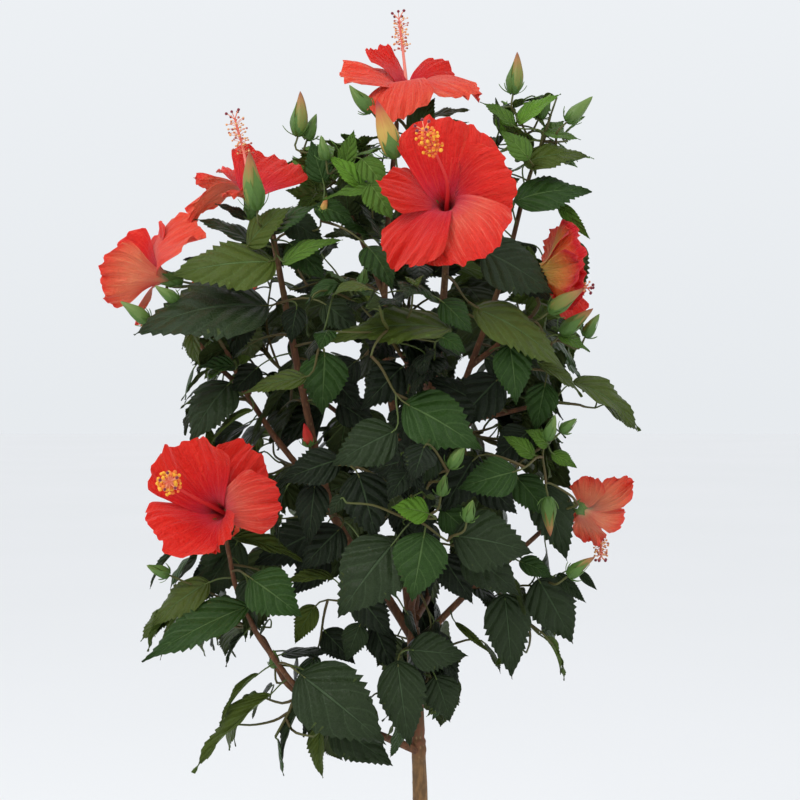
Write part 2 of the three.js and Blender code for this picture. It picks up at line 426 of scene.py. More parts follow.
def petal_finish(name, streak, *stops):
    """Colours that run from the throat to the edge, with fine veins that fan along the petal and painted
    shade in the furrows between them.
    """
    f = Finish(
        name, Sheen_Weight=0.1, Sheen_Roughness=0.35, IOR=1.36, Specular_IOR_Level=0.35,
        Subsurface_Weight=0.6, Subsurface_Radius=(1.0, 0.3, 0.2), Subsurface_Scale=2 * MM,
    )
    along, _, vector = f.blade()
    veins = f.noise(f.stretched(vector, 1.6, 30.0), 1.0, 4.0, 0.65)
    # The sunk furrows are darkened, as painted shade.
    painted_furrow_shade = f.times(f.above(veins, 0.5, 0.3), 0.35)
    shaded = f.mix(painted_furrow_shade, f.ramp(along, *stops), (0.5, 0.42, 0.42, 1), "MULTIPLY")
    patch = f.line(f.noise(vector, 3.2, 3.0), 0.8, 0.05)
    share = f.times(f.above(veins, 0.5, 0.68), patch)
    f.link("Base Color", f.mix(share, shaded, linear(*streak)))
    f.link("Roughness", f.line(veins, 0.25, 0.38))
    crinkle = f.noise(f.stretched(vector, 1.0, 1.8), 17.0, 4.0)
    f.relief(f.plus(veins, f.times(crinkle, 1.3)), 2.4)
    return f.material


def petal_finishes():
    """The petals' materials. Each has its veins' colour, then its colours from the throat to the edge."""
    return [
        petal_finish(
            "petal_red", (232, 84, 62), (0.0, 208, 8, 24), (0.16, 216, 14, 34), (0.28, 216, 42, 66),
            (0.45, 208, 22, 30), (0.7, 216, 32, 22), (1.0, 222, 44, 30),
        ),
        petal_finish(
            "petal_flushed", (248, 146, 120), (0.0, 208, 8, 24), (0.16, 216, 18, 38), (0.28, 222, 60, 78),
            (0.5, 232, 84, 66), (0.72, 228, 60, 44), (1.0, 222, 40, 30),
        ),
        petal_finish(
            "petal_coral", (244, 140, 104), (0.0, 212, 14, 30), (0.16, 220, 42, 54), (0.27, 230, 78, 76),
            (0.45, 228, 56, 40), (0.75, 232, 66, 44), (1.0, 234, 78, 52),
        ),
        petal_finish(
            "petal_under", (244, 180, 128), (0.0, 224, 196, 120), (0.16, 236, 160, 116), (0.3, 240, 126, 98),
            (0.55, 242, 134, 98), (0.85, 240, 104, 74), (1.0, 232, 64, 50),
        ),
        petal_finish(
            "petal_gold", (200, 70, 50), (0.0, 196, 156, 76), (0.3, 226, 170, 84), (0.55, 230, 146, 70),
            (0.78, 224, 90, 54), (0.9, 206, 34, 44), (1.0, 214, 60, 66),
        ),
    ]


def plain_finish(name, low, high, roughness, scale, **numbers):
    """Two colours run together by fine noise, with a slight relief of it."""
    f = Finish(name, Roughness=roughness, **numbers)
    along, _, vector = f.blade()
    grain = f.noise(f.stretched(vector, 1.0, 0.5), scale, 3.0)
    share = f.plus(f.times(along, 0.5), f.times(grain, 0.6))
    f.link("Base Color", f.mix(share, linear(*low), linear(*high)))
    f.relief(grain, 0.3, 0.6)
    return f.material


def bud_finish(name, *stops):
    """A bud's colours from its foot to its tip, with red streaks along it."""
    f = Finish(name, IOR=1.4)
    along, _, vector = f.blade()
    streaks = f.noise(f.stretched(vector, 3.0, 22.0), 1.0, 3.0)
    share = f.times(f.above(streaks, 0.5, 0.7), 0.4)
    f.link("Base Color", f.mix(share, f.ramp(along, *stops), linear(178, 84, 60)))
    f.link("Roughness", f.line(streaks, 0.2, 0.42))
    f.relief(streaks, 0.4, 0.7)
    return f.material


def bark_finish(name, low, high, fleck, change):
    """Mottled bark with pale flecks, which turns from one colour to the other at a height in metres."""
    f = Finish(name, Sheen_Weight=0.05, IOR=1.4)
    place = f.place()
    height = f.node("SeparateXYZ", {0: place}).outputs[2]
    mottle = f.noise(f.stretched(place, 1.0, 1.0, 0.35), 260.0, 5.0, 0.65)
    fine = f.noise(f.stretched(place, 1.0, 1.0, 0.2), 1500.0, 3.0)
    body = f.mix(f.above(height, change - 0.012, change + 0.012), linear(*low), linear(*high))
    mottled = f.mix(f.above(mottle, 0.35, 0.68), scaled(linear(*low), 0.5), body)
    flecks = f.below(f.cells(f.stretched(place, 1.0, 1.0, 0.55), 240.0), 0.1, 0.3)
    f.link("Base Color", f.mix(f.times(flecks, 0.45), mottled, linear(*fleck)))
    f.link("Roughness", f.line(mottle, 0.25, 0.55))
    f.relief(f.plus(mottle, f.times(fine, 0.5)), 0.7, 0.9)
    return f.material


# ---- Bark ----
SECTION_PITCH = 6.0
CUT_LENGTH = 16.0
SET_IN = 5.0


def centre_line(node):
    """A CAD limb's centre line and radius along it, base first, from sections square to its length."""
    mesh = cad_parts[node].data
    mesh.calc_loop_triangles()
    points = np.array([v.co for v in mesh.vertices]) / MM
    edges = np.array([t.vertices for t in mesh.loop_triangles])[:, [[0, 1], [1, 2], [2, 0]]]
    axis = np.linalg.svd(points - points.mean(0), full_matrices=False)[2][0]
    if axis[2] < 0:
        axis = -axis
    level = points @ axis
    low, high = level.min(), level.max()
    a, b = level[edges[..., 0]], level[edges[..., 1]]
    starts, stops = points[edges[..., 0]], points[edges[..., 1]]
    line, radii = [], []
    for at in np.linspace(low + 0.5, high - 0.5, max(4, round((high - low) / SECTION_PITCH))):
        share = np.clip((at - a) / np.where(a == b, 1, b - a), 0, 1)[..., None]
        cuts = starts + (stops - starts) * share
        # A triangle that is cut is cut through two of its edges.
        pairs = cuts[(a < at) != (b < at)].reshape(-1, 2, 3)
        lengths = np.linalg.norm(pairs[:, 1] - pairs[:, 0], axis=1)
        line.append((pairs.mean(1) * lengths[:, None]).sum(0) / lengths.sum())
        radii.append(lengths.sum() / (2 * math.pi))
    line, radii = np.array(line), np.array(radii)
    slope = np.abs(unit(np.gradient(line, axis=0)) @ axis)
    radii *= 2 / (1 + 1 / slope)
    if radii[-len(radii) // 3] > radii[len(radii) // 3]:
        line, radii = line[::-1], radii[::-1]
    return line, radii


def seated(line, radii):
    """A bough's line from where it is whole, drawn back along itself into what carries it."""
    whole = int(np.searchsorted(arc_lengths(line), CUT_LENGTH))
    line, radii = line[whole:], radii[whole:]
    back = unit(line[0] - line[2]) * (CUT_LENGTH + SET_IN)
    return np.concatenate([[line[0] + back], line]), np.concatenate([[radii[0] * 1.12], radii])


def bump(*offsets):
    """A smooth bump of height 1, from how far off its middle each point is in each direction."""
    return np.exp(-sum(off**2 for off in offsets))


def round_off(turn, where):
    """The angle from one place round a limb to others, at most half a turn."""
    return np.angle(np.exp(1j * (turn - where)))


SCAR_PITCH = 27.0


def bark_relief(length, turn, radius, seed):
    """How far the bark stands proud at each length and turn: ridges, swellings, scars and lenticels."""
    draws = np.random.default_rng(seed)
    a, t = length[:, None], turn[None]
    size = np.minimum(radius[:, None] / 9, 1)
    ridges = 0.13 * np.sin(7 * t + 2.4 * np.sin(a / 37)) + 0.08 * np.sin(11 * t + a / 19)
    ridges = ridges + 0.06 * np.sin(17 * t - a / 8.3) * np.sin(a / 5.1)
    swell = 0.22 * np.sin(a / 23 + seed) + 0.14 * np.sin(a / 9.7 + 2 * seed)
    proud = (ridges + swell) * size
    for k in range(int(length[-1] / SCAR_PITCH)):
        at, where = 14 + SCAR_PITCH * k + draws.normal(0, 3), (k * 2.4 + seed) % (2 * math.pi)
        off = round_off(t, where) * radius[:, None]
        scar = bump((a - at) / 1.7, off / (0.45 * radius[:, None]))
        lip = bump((a - at - 3.2) / 2.6, off / (0.4 * radius[:, None]))
        proud = proud + (0.75 * scar - 0.35 * lip) * size**0.5
        proud = proud + 0.1 * size * bump((a - at) / 1.1)
    count = int(length[-1] * radius.mean() * 2 * math.pi / 60)
    places = draws.uniform(0, length[-1], count)
    turns = draws.uniform(0, 2 * math.pi, count)
    for at, where in zip(places, turns):
        near = np.abs(length - at) < 3
        off = round_off(t, where) * radius[near][:, None]
        proud[near] += 0.28 * bump((a[near] - at) / 0.7, off) * size[near] ** 0.5
    return proud


def add_bark(name, line, radii, sides, pitch, material, seed, marks=None):
    """Puts a closed mesh with the bark's relief in a limb's place."""
    length = arc_lengths(line)
    stations = np.linspace(0, length[-1], int(length[-1] / pitch) + 2)
    path = evenly(line, len(stations))
    kernel = np.hanning(9) / np.hanning(9).sum()
    padded = np.concatenate([2 * path[:1] - path[4:0:-1], path, 2 * path[-1:] - path[-2:-6:-1]])
    path = np.stack([np.convolve(padded[:, i], kernel, "valid") for i in range(3)], 1)
    radius = np.interp(stations, length, radii)
    turn = 2 * math.pi * np.arange(sides) / sides
    radius_grid = radius[:, None] + bark_relief(stations, turn, radius, seed)
    if marks is not None:
        radius_grid = radius_grid + marks(path[:, 2][:, None], turn[None])
    radius_grid[-1] *= 0.5
    pile = Pile()
    add_tube(pile, path, radius_grid, sides)
    bark_points = pile.parts[0][0]
    bark_points[:, 2] = np.maximum(bark_points[:, 2], 0)
    piece = pile.build(name + "_bark", [material], mapped=False)[0]
    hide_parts(name)


# Heights on the stem: the old graft ring under the fork, a healed bud beside it, and a scar in front.
STEM_RING, HEALED_BUD, FRONT_SCAR = 489, 481, 440


def stem_marks(z, turn):
    """How far the marks on the stem and the few buttresses of its flare stand proud."""
    ring = 0.9 * bump((z - STEM_RING) / 2.2) - 0.7 * bump((z - STEM_RING - 4) / 2.0)
    healed = 2.2 * bump((z - HEALED_BUD) / 5, round_off(turn, 0.6) / 0.5)
    front = round_off(turn, 5.6)
    scar = -0.9 * bump((z - FRONT_SCAR) / 3, front / 0.2) + 0.5 * bump((z - FRONT_SCAR) / 6, front / 0.4)
    foot = 0.8 * np.exp(-z / 22) * np.cos(5 * turn + 0.7)
    return ring + healed + scar + foot


def build_limbs():
    """Barks all the limbs and gives the lines of the boughs."""
    stem_bark = bark_finish("stem_bark", (140, 104, 64), (120, 68, 44), (172, 138, 96), 0.478)
    bough_bark = bark_finish("bough_bark", (112, 70, 41), (98, 73, 40), (148, 114, 78), 0.9)
    bough_lines = []
    for i, name in enumerate(LIMBS):
        line, radii = centre_line(name)
        if name == "stem":
            line[0] -= UP * line[0][2]
            line[-1] += UP * 4
            add_bark(name, line, radii, 36, 1.8, stem_bark, 3, stem_marks)
        else:
            line, radii = seated(line, radii)
            bough_lines.append(line)
            add_bark(name, line, radii, 16, 2.0, bough_bark, 5 + i)
    return bough_lines


bough_lines = build_limbs()


# ---- Leaves ----
SHOULDER = 0.3
TEETH = 9
LEAF_COLS = 7
LEAF_THICKNESS = 0.35


def leaf_rows():
    """Stations along a blade: close together round its base, then one for each tooth and notch."""
    base = SHOULDER * (1 - np.cos(np.linspace(0, math.pi / 2, 7))[:-1])
    toothed = np.linspace(SHOULDER, 1, 2 * TEETH + 2)
    return np.concatenate([base, toothed])


def leaf_middles(leaves):
    """Middle surfaces of leaves, n x rows x cols x 3. Each leaf is a dict of its places and bends."""

    def column(key):
        return np.array([leaf[key] for leaf in leaves], float)[:, None, None]

    base, tip, face = (np.array([leaf[key] for leaf in leaves], float) for key in ("base", "tip", "face"))
    chord = np.linalg.norm(tip - base, axis=1)[:, None, None]
    ahead = unit(tip - base)
    upper = across(ahead, face)
    right = np.cross(ahead, upper)
    u = leaf_rows()[None, :, None]
    s = np.linspace(-1, 1, LEAF_COLS)[None, None, :]
    phase, curl = column("phase"), column("curl")

    # The outline: a round base with a notch, a tapering tip, and a tooth at every other station.
    t = np.clip((u - SHOULDER) / (1 - SHOULDER), 0, 1)
    rounded = np.clip(1 - ((SHOULDER - np.minimum(u, SHOULDER)) / SHOULDER) ** 2.2, 0, 1) ** column("wedge")
    taper = (1 - t) ** 1.35 * (1 + 1.1 * t)
    half = chord * column("width") * np.maximum(rounded * taper, 0.004)
    tooth = np.where(np.arange(u.size) % 2 == 0, -1.0, 1.0)[None, :, None]
    tooth = tooth * ramp(u, SHOULDER - 0.06, SHOULDER + 0.14) * (1 - ramp(u, 0.93, 1)) * np.abs(s) ** 12
    uneven = 1 + 0.55 * np.sin(phase * 7 + 11 * u + 2 * (s > 0))
    half = half * (1 + 0.06 * tooth * uneven)
    drawn = u + 0.011 * tooth * uneven - 0.055 * np.abs(s) ** 1.3 * (1 - ramp(u, 0, 0.3))

    # The midrib is an arc over the chord. The halves fold up from it, bow down again and wave.
    radius = chord / (2 * np.sin(curl / 2))
    lean = curl / 2 - curl * drawn
    forward = radius * (np.sin(curl / 2) - np.sin(lean))
    lift = radius * (np.cos(lean) - np.cos(curl / 2))
    fold = column("fold") * (1 - 0.35 * u)
    edge = np.abs(s) ** 2
    bow = 0.22 * edge
    wave = column("wave") * chord * edge * np.sin(2 * math.pi * (2.3 * u + 0.12 * s) + phase + 1.7 * (s > 0))
    wave = wave * ramp(u, 0.02, 0.25)
    quilt = 0.005 * chord * np.sin(2 * math.pi * VEIN_PAIRS * (u - 0.45 * np.abs(s))) * np.abs(s) * (1 - edge)
    spin = column("twist") * (u - 0.2)
    out = half * s * np.cos(fold)
    rise = half * (np.abs(s) * np.sin(fold) - bow) + wave + quilt
    side = out * np.cos(spin) - rise * np.sin(spin)
    rise = out * np.sin(spin) + rise * np.cos(spin)

    def spread(v):
        return v[:, None, None, :]

    normal = -np.sin(lean)[..., None] * spread(ahead) + np.cos(lean)[..., None] * spread(upper)
    middle = spread(base) + forward[..., None] * spread(ahead) + lift[..., None] * spread(upper)
    return middle + side[..., None] * spread(right) + rise[..., None] * normal


def leaf_blade():
    """Where each point of a leaf's surface lies on its pattern."""
    u, s = np.meshgrid(leaf_rows(), np.linspace(0, 1, LEAF_COLS), indexing="ij")
    return np.stack([u, s], -1)


def make_leaf(base, tip, face, shade, width, curl, fold, wave, twist):
    """A leaf from base to tip, its upper side towards face. Its width is a share of its length."""
    return {
        "base": np.asarray(base, float), "tip": np.asarray(tip, float), "face": np.asarray(face, float),
        "shade": shade, "width": width, "curl": curl, "fold": fold, "wave": wave, "twist": twist,
        "phase": rng.uniform(0, 2 * math.pi), "wedge": rng.uniform(0.5, 0.85),
    }


def random_leaf(base, tip, face, shade, narrow, broad):
    """A leaf bent and folded by chance, from narrow to broad."""
    return make_leaf(
        base, tip, face, shade,
        width=rng.uniform(narrow, broad),
        curl=rng.uniform(0.25, 0.95),
        fold=abs(rng.normal(0.28, 0.2)),
        wave=rng.uniform(0.012, 0.032),
        twist=rng.normal(0, 0.35),
    )


def middle_of(leaf):
    return (leaf["base"] + leaf["tip"]) / 2


# ---- Room for the leaves ----
# Gaps in the crown, as they show on the plane of the stem: x, z and radius.
GAPS = np.array([
    (-142, 875, 6), (-157, 862, 5), (-132, 953, 5), (-152, 934, 6), (-64, 977, 10), (-78, 966, 8),
    (0, 923, 8), (-37, 937, 3), (-141, 877, 6), (-78, 884, 5), (-21, 862, 5), (17, 946, 4), (51, 859, 5),
    (-175, 818, 10), (-203, 822, 12), (-119, 779, 5), (-149, 768, 9), (-131, 704, 6), (-136, 691, 6),
    (-177, 687, 5), (-96, 704, 4), (-111, 638, 5), (-102, 606, 6), (66, 795, 6), (92, 744, 6),
    (100, 738, 12), (97, 710, 8), (98, 660, 8), (40, 620, 16), (30, 636, 8), (21, 671, 3), (-37, 699, 4),
    (20, 703, 3), (-21, 596, 4), (-57, 569, 5), (-45, 540, 8), (-71, 601, 8), (-93, 608, 15),
    (-128, 600, 14), (-150, 585, 10), (-110, 585, 8), (112, 738, 10), (58, 600, 12), (-74, 560, 5),
    (-206, 540, 18), (-166, 495, 12), (-141, 530, 8), (-176, 470, 10), (-121, 460, 8), (-231, 490, 20),
    (2, 498, 12), (2, 475, 16), (4, 450, 20), (49, 590, 12), (119, 570, 12), (160, 570, 12), (66, 545, 14),
    (105, 1056, 3), (125, 1056, 3), (140, 1056, 4), (155, 1057, 4), (105, 1008, 8), (95, 1000, 5),
    (120, 1010, 6), (140, 1010, 8), (163, 1010, 6), (180, 1010, 10), (139, 1118, 5), (88, 1075, 4),
    (185, 1110, 8), (-255, 850, 14), (-262, 825, 16), (-256, 800, 14), (-280, 640, 12), (-215, 556, 10),
    (-235, 560, 12), (52, 540, 8), (50, 515, 10), (40, 500, 10), (208, 850, 12), (215, 830, 10),
    (190, 880, 10), (163, 808, 18), (195, 796, 12), (169, 862, 9), (165, 772, 14), (200, 772, 14),
    (180, 755, 8), (113, 610, 7), (108, 594, 8), (156, 592, 8), (150, 612, 3), (-240, 572, 14),
    (-200, 556, 14), (-168, 578, 8), (-165, 488, 12), (-148, 506, 10), (-158, 468, 12), (-85, 452, 14),
    (-58, 448, 12), (80, 1144, 8), (110, 1142, 8), (150, 1134, 8), (160, 1096, 8), (172, 1086, 6),
    (-240, 1020, 12), (-137, 1088, 10), (-92, 1102, 8), (-72, 1108, 9), (-58, 1118, 8), (-150, 1096, 10),
    (-110, 1104, 5), (-158, 697, 4), (145, 1172, 14), (-150, 528, 6), (-168, 548, 5), (-215, 530, 10),
    (208, 690, 12), (-128, 486, 6), (-118, 470, 8), (-214, 1006, 6), (-200, 1000, 5), (125, 1158, 16),
    (165, 1150, 18), (72, 1160, 14), (100, 1190, 15), (-88, 1140, 12), (-66, 1128, 8),
], float)


def tree_of(names):
    """One tree of the surfaces of several nodes, to cast rays at and to measure from."""
    points, faces = [], []
    for name in names:
        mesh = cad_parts[name].data
        faces += [[i + len(points) for i in face.vertices] for face in mesh.polygons]
        points += [v.co / MM for v in mesh.vertices]
    return BVHTree.FromPolygons(points, faces)


def nearest_in(places):
    """A tree of places, to find the nearest of them."""
    tree = KDTree(len(places))
    for i, place in enumerate(places):
        tree.insert(place, i)
    tree.balance()
    return tree


boxes = {name: box_of(name) for name in MASSES}
crown = tree_of(MASSES)
greenery = tree_of([name for name in MASSES if "bloom" not in name])


def beyond(point):
    """How far a point lies outside every mass of foliage. Inside one it is 0."""
    spot, normal, _, distance = crown.find_nearest(Vector(point))
    return 0.0 if (Vector(point) - spot).dot(normal) <= 0 else distance


# Places spread over a leaf, as shares along it and across it, and the numbers of some round its edge.
SAMPLES = np.array([
    (u, s)
    for u in (0.05, 0.16, 0.28, 0.4, 0.52, 0.64, 0.76, 0.88, 1)
    for s in np.linspace(-0.9, 0.9, 7)
])
OUTER_SAMPLES = (21, 27, 42, 48, 59)

# How clear of the gaps leaves stay, and the depth beyond which a flower is on the far side.
GAP_MARGIN = 3.0
FAR_SIDE = 50.0


def leaf_samples(leaf):
    """Points spread over a leaf, roughly."""
    chord = leaf["tip"] - leaf["base"]
    upper = across(unit(chord), leaf["face"])
    right = np.cross(unit(chord), upper)
    u, s = SAMPLES[:, :1], SAMPLES[:, 1:]
    size = np.linalg.norm(chord)
    half = size * leaf["width"] * np.clip(2.6 * np.sqrt(u) * (1 - u) ** 0.8, 0, 1)
    return leaf["base"] + chord * u + upper * size * leaf["curl"] / 2 * u * (1 - u) + right * s * half


# Each flower's place, axis, size and whether it shows from the front.
flowers = []


def in_flower(points, room=0.95):
    """Whether any point lies in the room that a flower opens into."""
    for place, axis, size, _ in flowers:
        off = points - place
        if ((off @ axis > -5) & (np.linalg.norm(off, axis=1) < size * room)).any():
            return True
    return False


def before_flower(points, seen):
    """Whether any point hides a flower that shows from the front."""
    for place, axis, size, shows in flowers:
        middle = place + axis * size * 0.35
        near = np.linalg.norm(seen - seen_at(middle), axis=1) < size * 0.84
        if shows and (near & (points[:, 1] < place[1] + 20)).any():
            return True
    return False


# Discs along the leaves that are placed first, as they show: x, z and radius, and the leaf's depth.
discs = []


def shield(leaf):
    """Keeps what is before a leaf clear."""
    for share, part in ((0.25, 0.75), (0.5, 0.8), (0.75, 0.45)):
        middle = leaf["base"] + (leaf["tip"] - leaf["base"]) * share
        radius = np.linalg.norm(leaf["tip"] - leaf["base"]) * leaf["width"] * part
        discs.append((*seen_at(middle), radius, middle[1]))


def before_leaf(points, seen):
    """Whether any point hides a leaf that was placed first."""
    x, z, radius, depth = np.array(discs).T
    near = np.hypot(seen[:, :1] - x, seen[:, 1:] - z) < radius
    return bool((near & (points[:, 1:2] < depth + 4)).any())


def fits(leaf, slack=12.0):
    """Whether a leaf stays in the crown, off its gaps, and clear of and not before the flowers."""
    points = leaf_samples(leaf)
    seen = seen_at(points)
    if (np.linalg.norm(seen[:, None] - GAPS[None, :, :2], axis=2) < GAPS[:, 2] + GAP_MARGIN).any():
        return False
    if in_flower(points) or before_flower(points, seen) or before_leaf(points, seen):
        return False
    return all(beyond(points[i]) < slack for i in OUTER_SAMPLES)


# ---- Branching rule ----
TURN = math.radians(137.5)
LEAF_PITCH = 15.0
SHOOT_RADIUS = 2.1
TWIG_RADIUS = 1.45
LEAST_ROOM = 14.0

# How many leaves a node tries, and the share of leaves that hang with their undersides out.
NODE_TRIES = 9
TURNED_OVER = 0.05

anchor_points = np.concatenate(bough_lines)
anchor_ways = np.concatenate([unit(np.gradient(line, axis=0)) for line in bough_lines])

# What has grown: leaves with their middles, shoots with their radii, and leaf stalks. Leaves in loose
# still need a stalk, and borne holds the places on shoots that bear a flower, bud or leaf.
leaves = []
centres = []
shoots = []
petioles = []
loose = []
borne = []


def wood(step=1):
    """Places on the boughs, and on the shoots at every few of their points."""
    return np.concatenate([anchor_points] + [path[::step] for path, _ in shoots])


def leaving_place(goal):
    """Where on the limbs a shoot to the goal starts, and which way the limb runs there."""
    height = goal[2] - anchor_points[:, 2]
    cost = np.linalg.norm(anchor_points - goal, axis=1) + 0.6 * np.maximum(12 - height, 0)
    best = int(np.argmin(cost))
    return anchor_points[best], anchor_ways[best]


def climb(start, way, goal, radius):
    """A shoot from start, leaving along way and bending to the goal."""
    reach = np.linalg.norm(goal - start)
    wander = rng.normal(0, 0.04, 3) * reach
    middle = (start + goal) / 2 + way * reach * 0.14 + wander
    leave = start + way * reach * 0.22 + (goal - start) * 0.1
    path = curve_through([start, leave, middle, goal], max(5, int(reach / 5)))
    shoots.append((path, np.linspace(radius, radius * 0.62, len(path))))
    return path


def shade_for(point, youth):
    """A leaf's shade: darker low down, darker inside the crown as painted shade, fresher at the top and
    shoots' ends.
    """
    height = np.interp(point[2], [560, 800, 900, 1000, 1100], [1.7, 1.6, 2.4, 3.1, 3.8])
    # Near the crown's middle the leaves are dealt a darker colour, as a painted shade.
    inside = 1 - min(np.linalg.norm((point - HEART)[[0, 2]] / PAINTED_SHADE_REACH), 1.0)
    roll = rng.normal(height + youth * 1.4 - inside * 3.4, 0.6)
    return SHADES[int(np.clip(roll + 0.35, 0, UPPER_SHADES - 1))]


def droop_for(z):
    """How much the leaves at a height hang: the lower, the more."""
    return float(np.interp(z, [520, 700, 850, 980, 1080], [1.4, 1.15, 0.8, 0.35, -0.1]))


def take(leaf):
    """Adds a leaf to the crown."""
    leaves.append(leaf)
    centres.append(middle_of(leaf))


def hang_leaf(node, way, size, youth, turn):
    """Hangs the best placed of a few leaves that a node could bear, if any fits."""
    best, room = None, 0
    side = across(way, np.array([math.cos(turn), math.sin(turn), 0.25]))
    for attempt in range(NODE_TRIES):
        length = size * (1 - 0.05 * attempt) * rng.uniform(0.88, 1.1)
        out = unit(side + 0.3 * way + 0.5 * outwards(node) + rng.normal(0, 0.22 + 0.07 * attempt, 3))
        stalk = rng.uniform(0.16, 0.42) * length
        base = node + out * stalk + UP * stalk * 0.15
        flat = unit(out * [1, 1, 0.5])
        direction = unit(flat - UP * (droop_for(base[2]) + rng.normal(0.1, 0.25)))
        tip = base + direction * length
        middle = (base + tip) / 2
        face = outwards(middle) * rng.uniform(0.7, 1.3) + UP * 0.6 + rng.normal(0, 0.28, 3)
        if rng.random() < TURNED_OVER:
            face = -face
        leaf = random_leaf(base, tip, face, "dark", 0.31, 0.4)
        if not fits(leaf):
            continue
        space = np.linalg.norm(np.array(centres) - middle, axis=1).min()
        space += 8 * float(outwards(middle) @ unit(leaf["face"]))
        if space > room:
            best, room = leaf, space
    if room < LEAST_ROOM:
        return
    best["shade"] = shade_for(middle_of(best), youth)
    take(best)
    base, into = best["base"], arrival(best)
    reach = np.linalg.norm(base - node)
    leave = node + (unit(base - node) + 0.5 * way) * reach * 0.35
    petioles.append(arched(node, leave, base - into * reach * 0.35, base + into * 2, 7))


def arrival(leaf):
    """The way in which a leaf's midrib starts."""
    ahead = unit(leaf["tip"] - leaf["base"])
    upper = across(ahead, leaf["face"])
    return unit(ahead * math.cos(leaf["curl"] / 2) + upper * math.sin(leaf["curl"] / 2))


def carry(path, first, size):
    """Hangs leaves on a shoot from a share of its length on, each turned on from the last."""
    length = arc_lengths(path)
    way = unit(np.gradient(path, axis=0))
    turn = rng.uniform(0, 2 * math.pi)
    at = length[-1] * first
    while at < length[-1]:
        i = int(np.searchsorted(length, at))
        youth = ramp(at / length[-1], 0.75, 1.1)
        hang_leaf(path[i], way[i], size * (1 - 0.25 * youth), youth, turn)
        turn += TURN + rng.normal(0, 0.15)
        at += LEAF_PITCH * rng.uniform(0.8, 1.2)
    for k in range(3):
        hang_leaf(path[-1], way[-1], size * rng.uniform(0.4, 0.65), 1.0, turn + k * TURN)


def grow(name):
    """Grows a shoot into a mass of foliage, with twigs to all sides of it."""
    low, high = boxes[name]
    centre, reach = (low + high) / 2, (high - low) / 2
    out = outwards(centre)
    start, way = leaving_place(centre - out * reach * 0.3)
    goal = centre + out * reach * 0.3
    for place, axis, flower_size, _ in flowers:
        if np.linalg.norm(goal - place) < flower_size:
            goal = place - axis * 24
    path = climb(start, way, goal, SHOOT_RADIUS)
    size = float(np.interp(centre[2], [550, 900, 1100], [92, 84, 66]))
    carry(path, 0.45, size)
    count = max(5, round(float(np.prod(reach)) ** (1 / 3) / 9))
    for k in range(count):
        z = 1 - (2 * k + 1) / count
        spin = k * TURN + rng.uniform(-0.3, 0.3)
        flat = math.sqrt(1 - z * z)
        direction = np.array([flat * math.cos(spin), flat * math.sin(spin), z])
        if direction @ out < -0.45:
            continue
        from_here = int((0.25 + 0.6 * (k + 0.5) / count) * (len(path) - 1))
        goal = centre + direction * reach * rng.uniform(0.5, 0.68)
        leave = unit(unit(path[from_here + 1] - path[from_here]) + unit(goal - path[from_here]))
        twig = climb(path[from_here], leave, goal, TWIG_RADIUS)
        if in_flower(twig, 1.05):
            shoots.pop()
            continue
        carry(twig, 0.3, size)


def reach_for(place, way, radius, room=22.0):
    """A stalk from the nearest shoot or limb to a place, arriving along way."""
    before = place - way * room
    ends = wood(2)
    lower = np.maximum(ends[:, 2] - before[2] + 6, 0)
    best = ends[int(np.argmin(np.linalg.norm(ends - before, axis=1) + 0.7 * lower))]
    start_way = unit(unit(before - best) + 0.4 * UP)
    gap = np.linalg.norm(before - best)
    path = curve_through([best, best + start_way * gap * 0.3, before, place], max(6, int(gap / 5) + 6))
    shoots.append((path, np.linspace(radius * 1.15, radius * 0.8, len(path))))
    borne.append(place)


# ---- Flowers and buds ----
PETAL_THICKNESS = 0.35
GREEN_THICKNESS = 0.5
STAMENS = 60

petals = Pile()
columns = Pile()
filaments = Pile()
anthers = Pile()
stigmas = Pile()
calyces = Pile()
bud_tips = Pile()


def axes_of(facing):
    """A flower's axis and two unit vectors square to it, the first as near upright as it can be."""
    axis = unit(facing)
    first = across(axis, UP)
    return axis, first, np.cross(axis, first)


def aside(axes, angle):
    """The unit vector square to a flower's axis, at an angle round it."""
    return math.cos(angle) * axes[1] + math.sin(angle) * axes[2]


def whorl_sheet(place, axis, radial, length, tilt, half, round_off, height, rows, cols):
    """The middle surface of a petal or sepal that starts at place and leans away from the axis to radial.

    tilt gives its angle from the axis along it, half its half width, and height how far each
    point stands off it. All take t from 0 to 1 along, and height also s from -1 to 1 across."""
    around = np.cross(axis, radial)
    fine = np.linspace(0, 1, 80)
    leans = tilt(fine)
    steps = length / (len(fine) - 1)
    outs = np.concatenate([[0], np.cumsum(np.sin(leans[1:]))]) * steps
    rises = np.concatenate([[0], np.cumsum(np.cos(leans[1:]))]) * steps
    u = np.linspace(0, 1, rows)[:, None]
    s = np.linspace(1, -1, cols)[None]
    t = u * (1 - round_off * np.abs(s) ** 2.4 * ramp(u, 0.3, 1))
    lean = np.interp(t, fine, leans)
    r = np.interp(t, fine, outs) + 3.0
    z = np.interp(t, fine, rises)
    lateral = s * half(t)
    # Near the throat the sheet wraps the axis, and further out it is a flatter blade.
    flat = ramp(t, 0.2, 0.55)
    angle = np.clip(lateral / r, -2.6, 2.6)
    wide = r * np.sin(angle) * (1 - flat) + lateral * flat
    deep = r * np.cos(angle) * (1 - flat) + r * flat
    off = height(t, s)
    deep = deep - off * np.cos(lean)
    z = z + off * np.sin(lean)
    return place + deep[..., None] * radial + wide[..., None] * around + z[..., None] * axis


def sheet_blade(rows, cols):
    """Where each point of a petal or sepal lies on its pattern."""
    u, s = np.meshgrid(np.linspace(0, 1, rows), np.linspace(1, 0, cols), indexing="ij")
    return np.stack([u, s], -1)


def add_sheet(pile, middle, thickness, slot=0, under=0):
    """Adds one petal or sepal from its middle surface."""
    blade = sheet_blade(*middle.shape[:2])
    add_sheets(pile, middle[None], thickness, [slot], [under], blade)


PETAL_ROWS, PETAL_COLS = 21, 33
FUNNEL = math.radians(17)
ROLL = 0.3


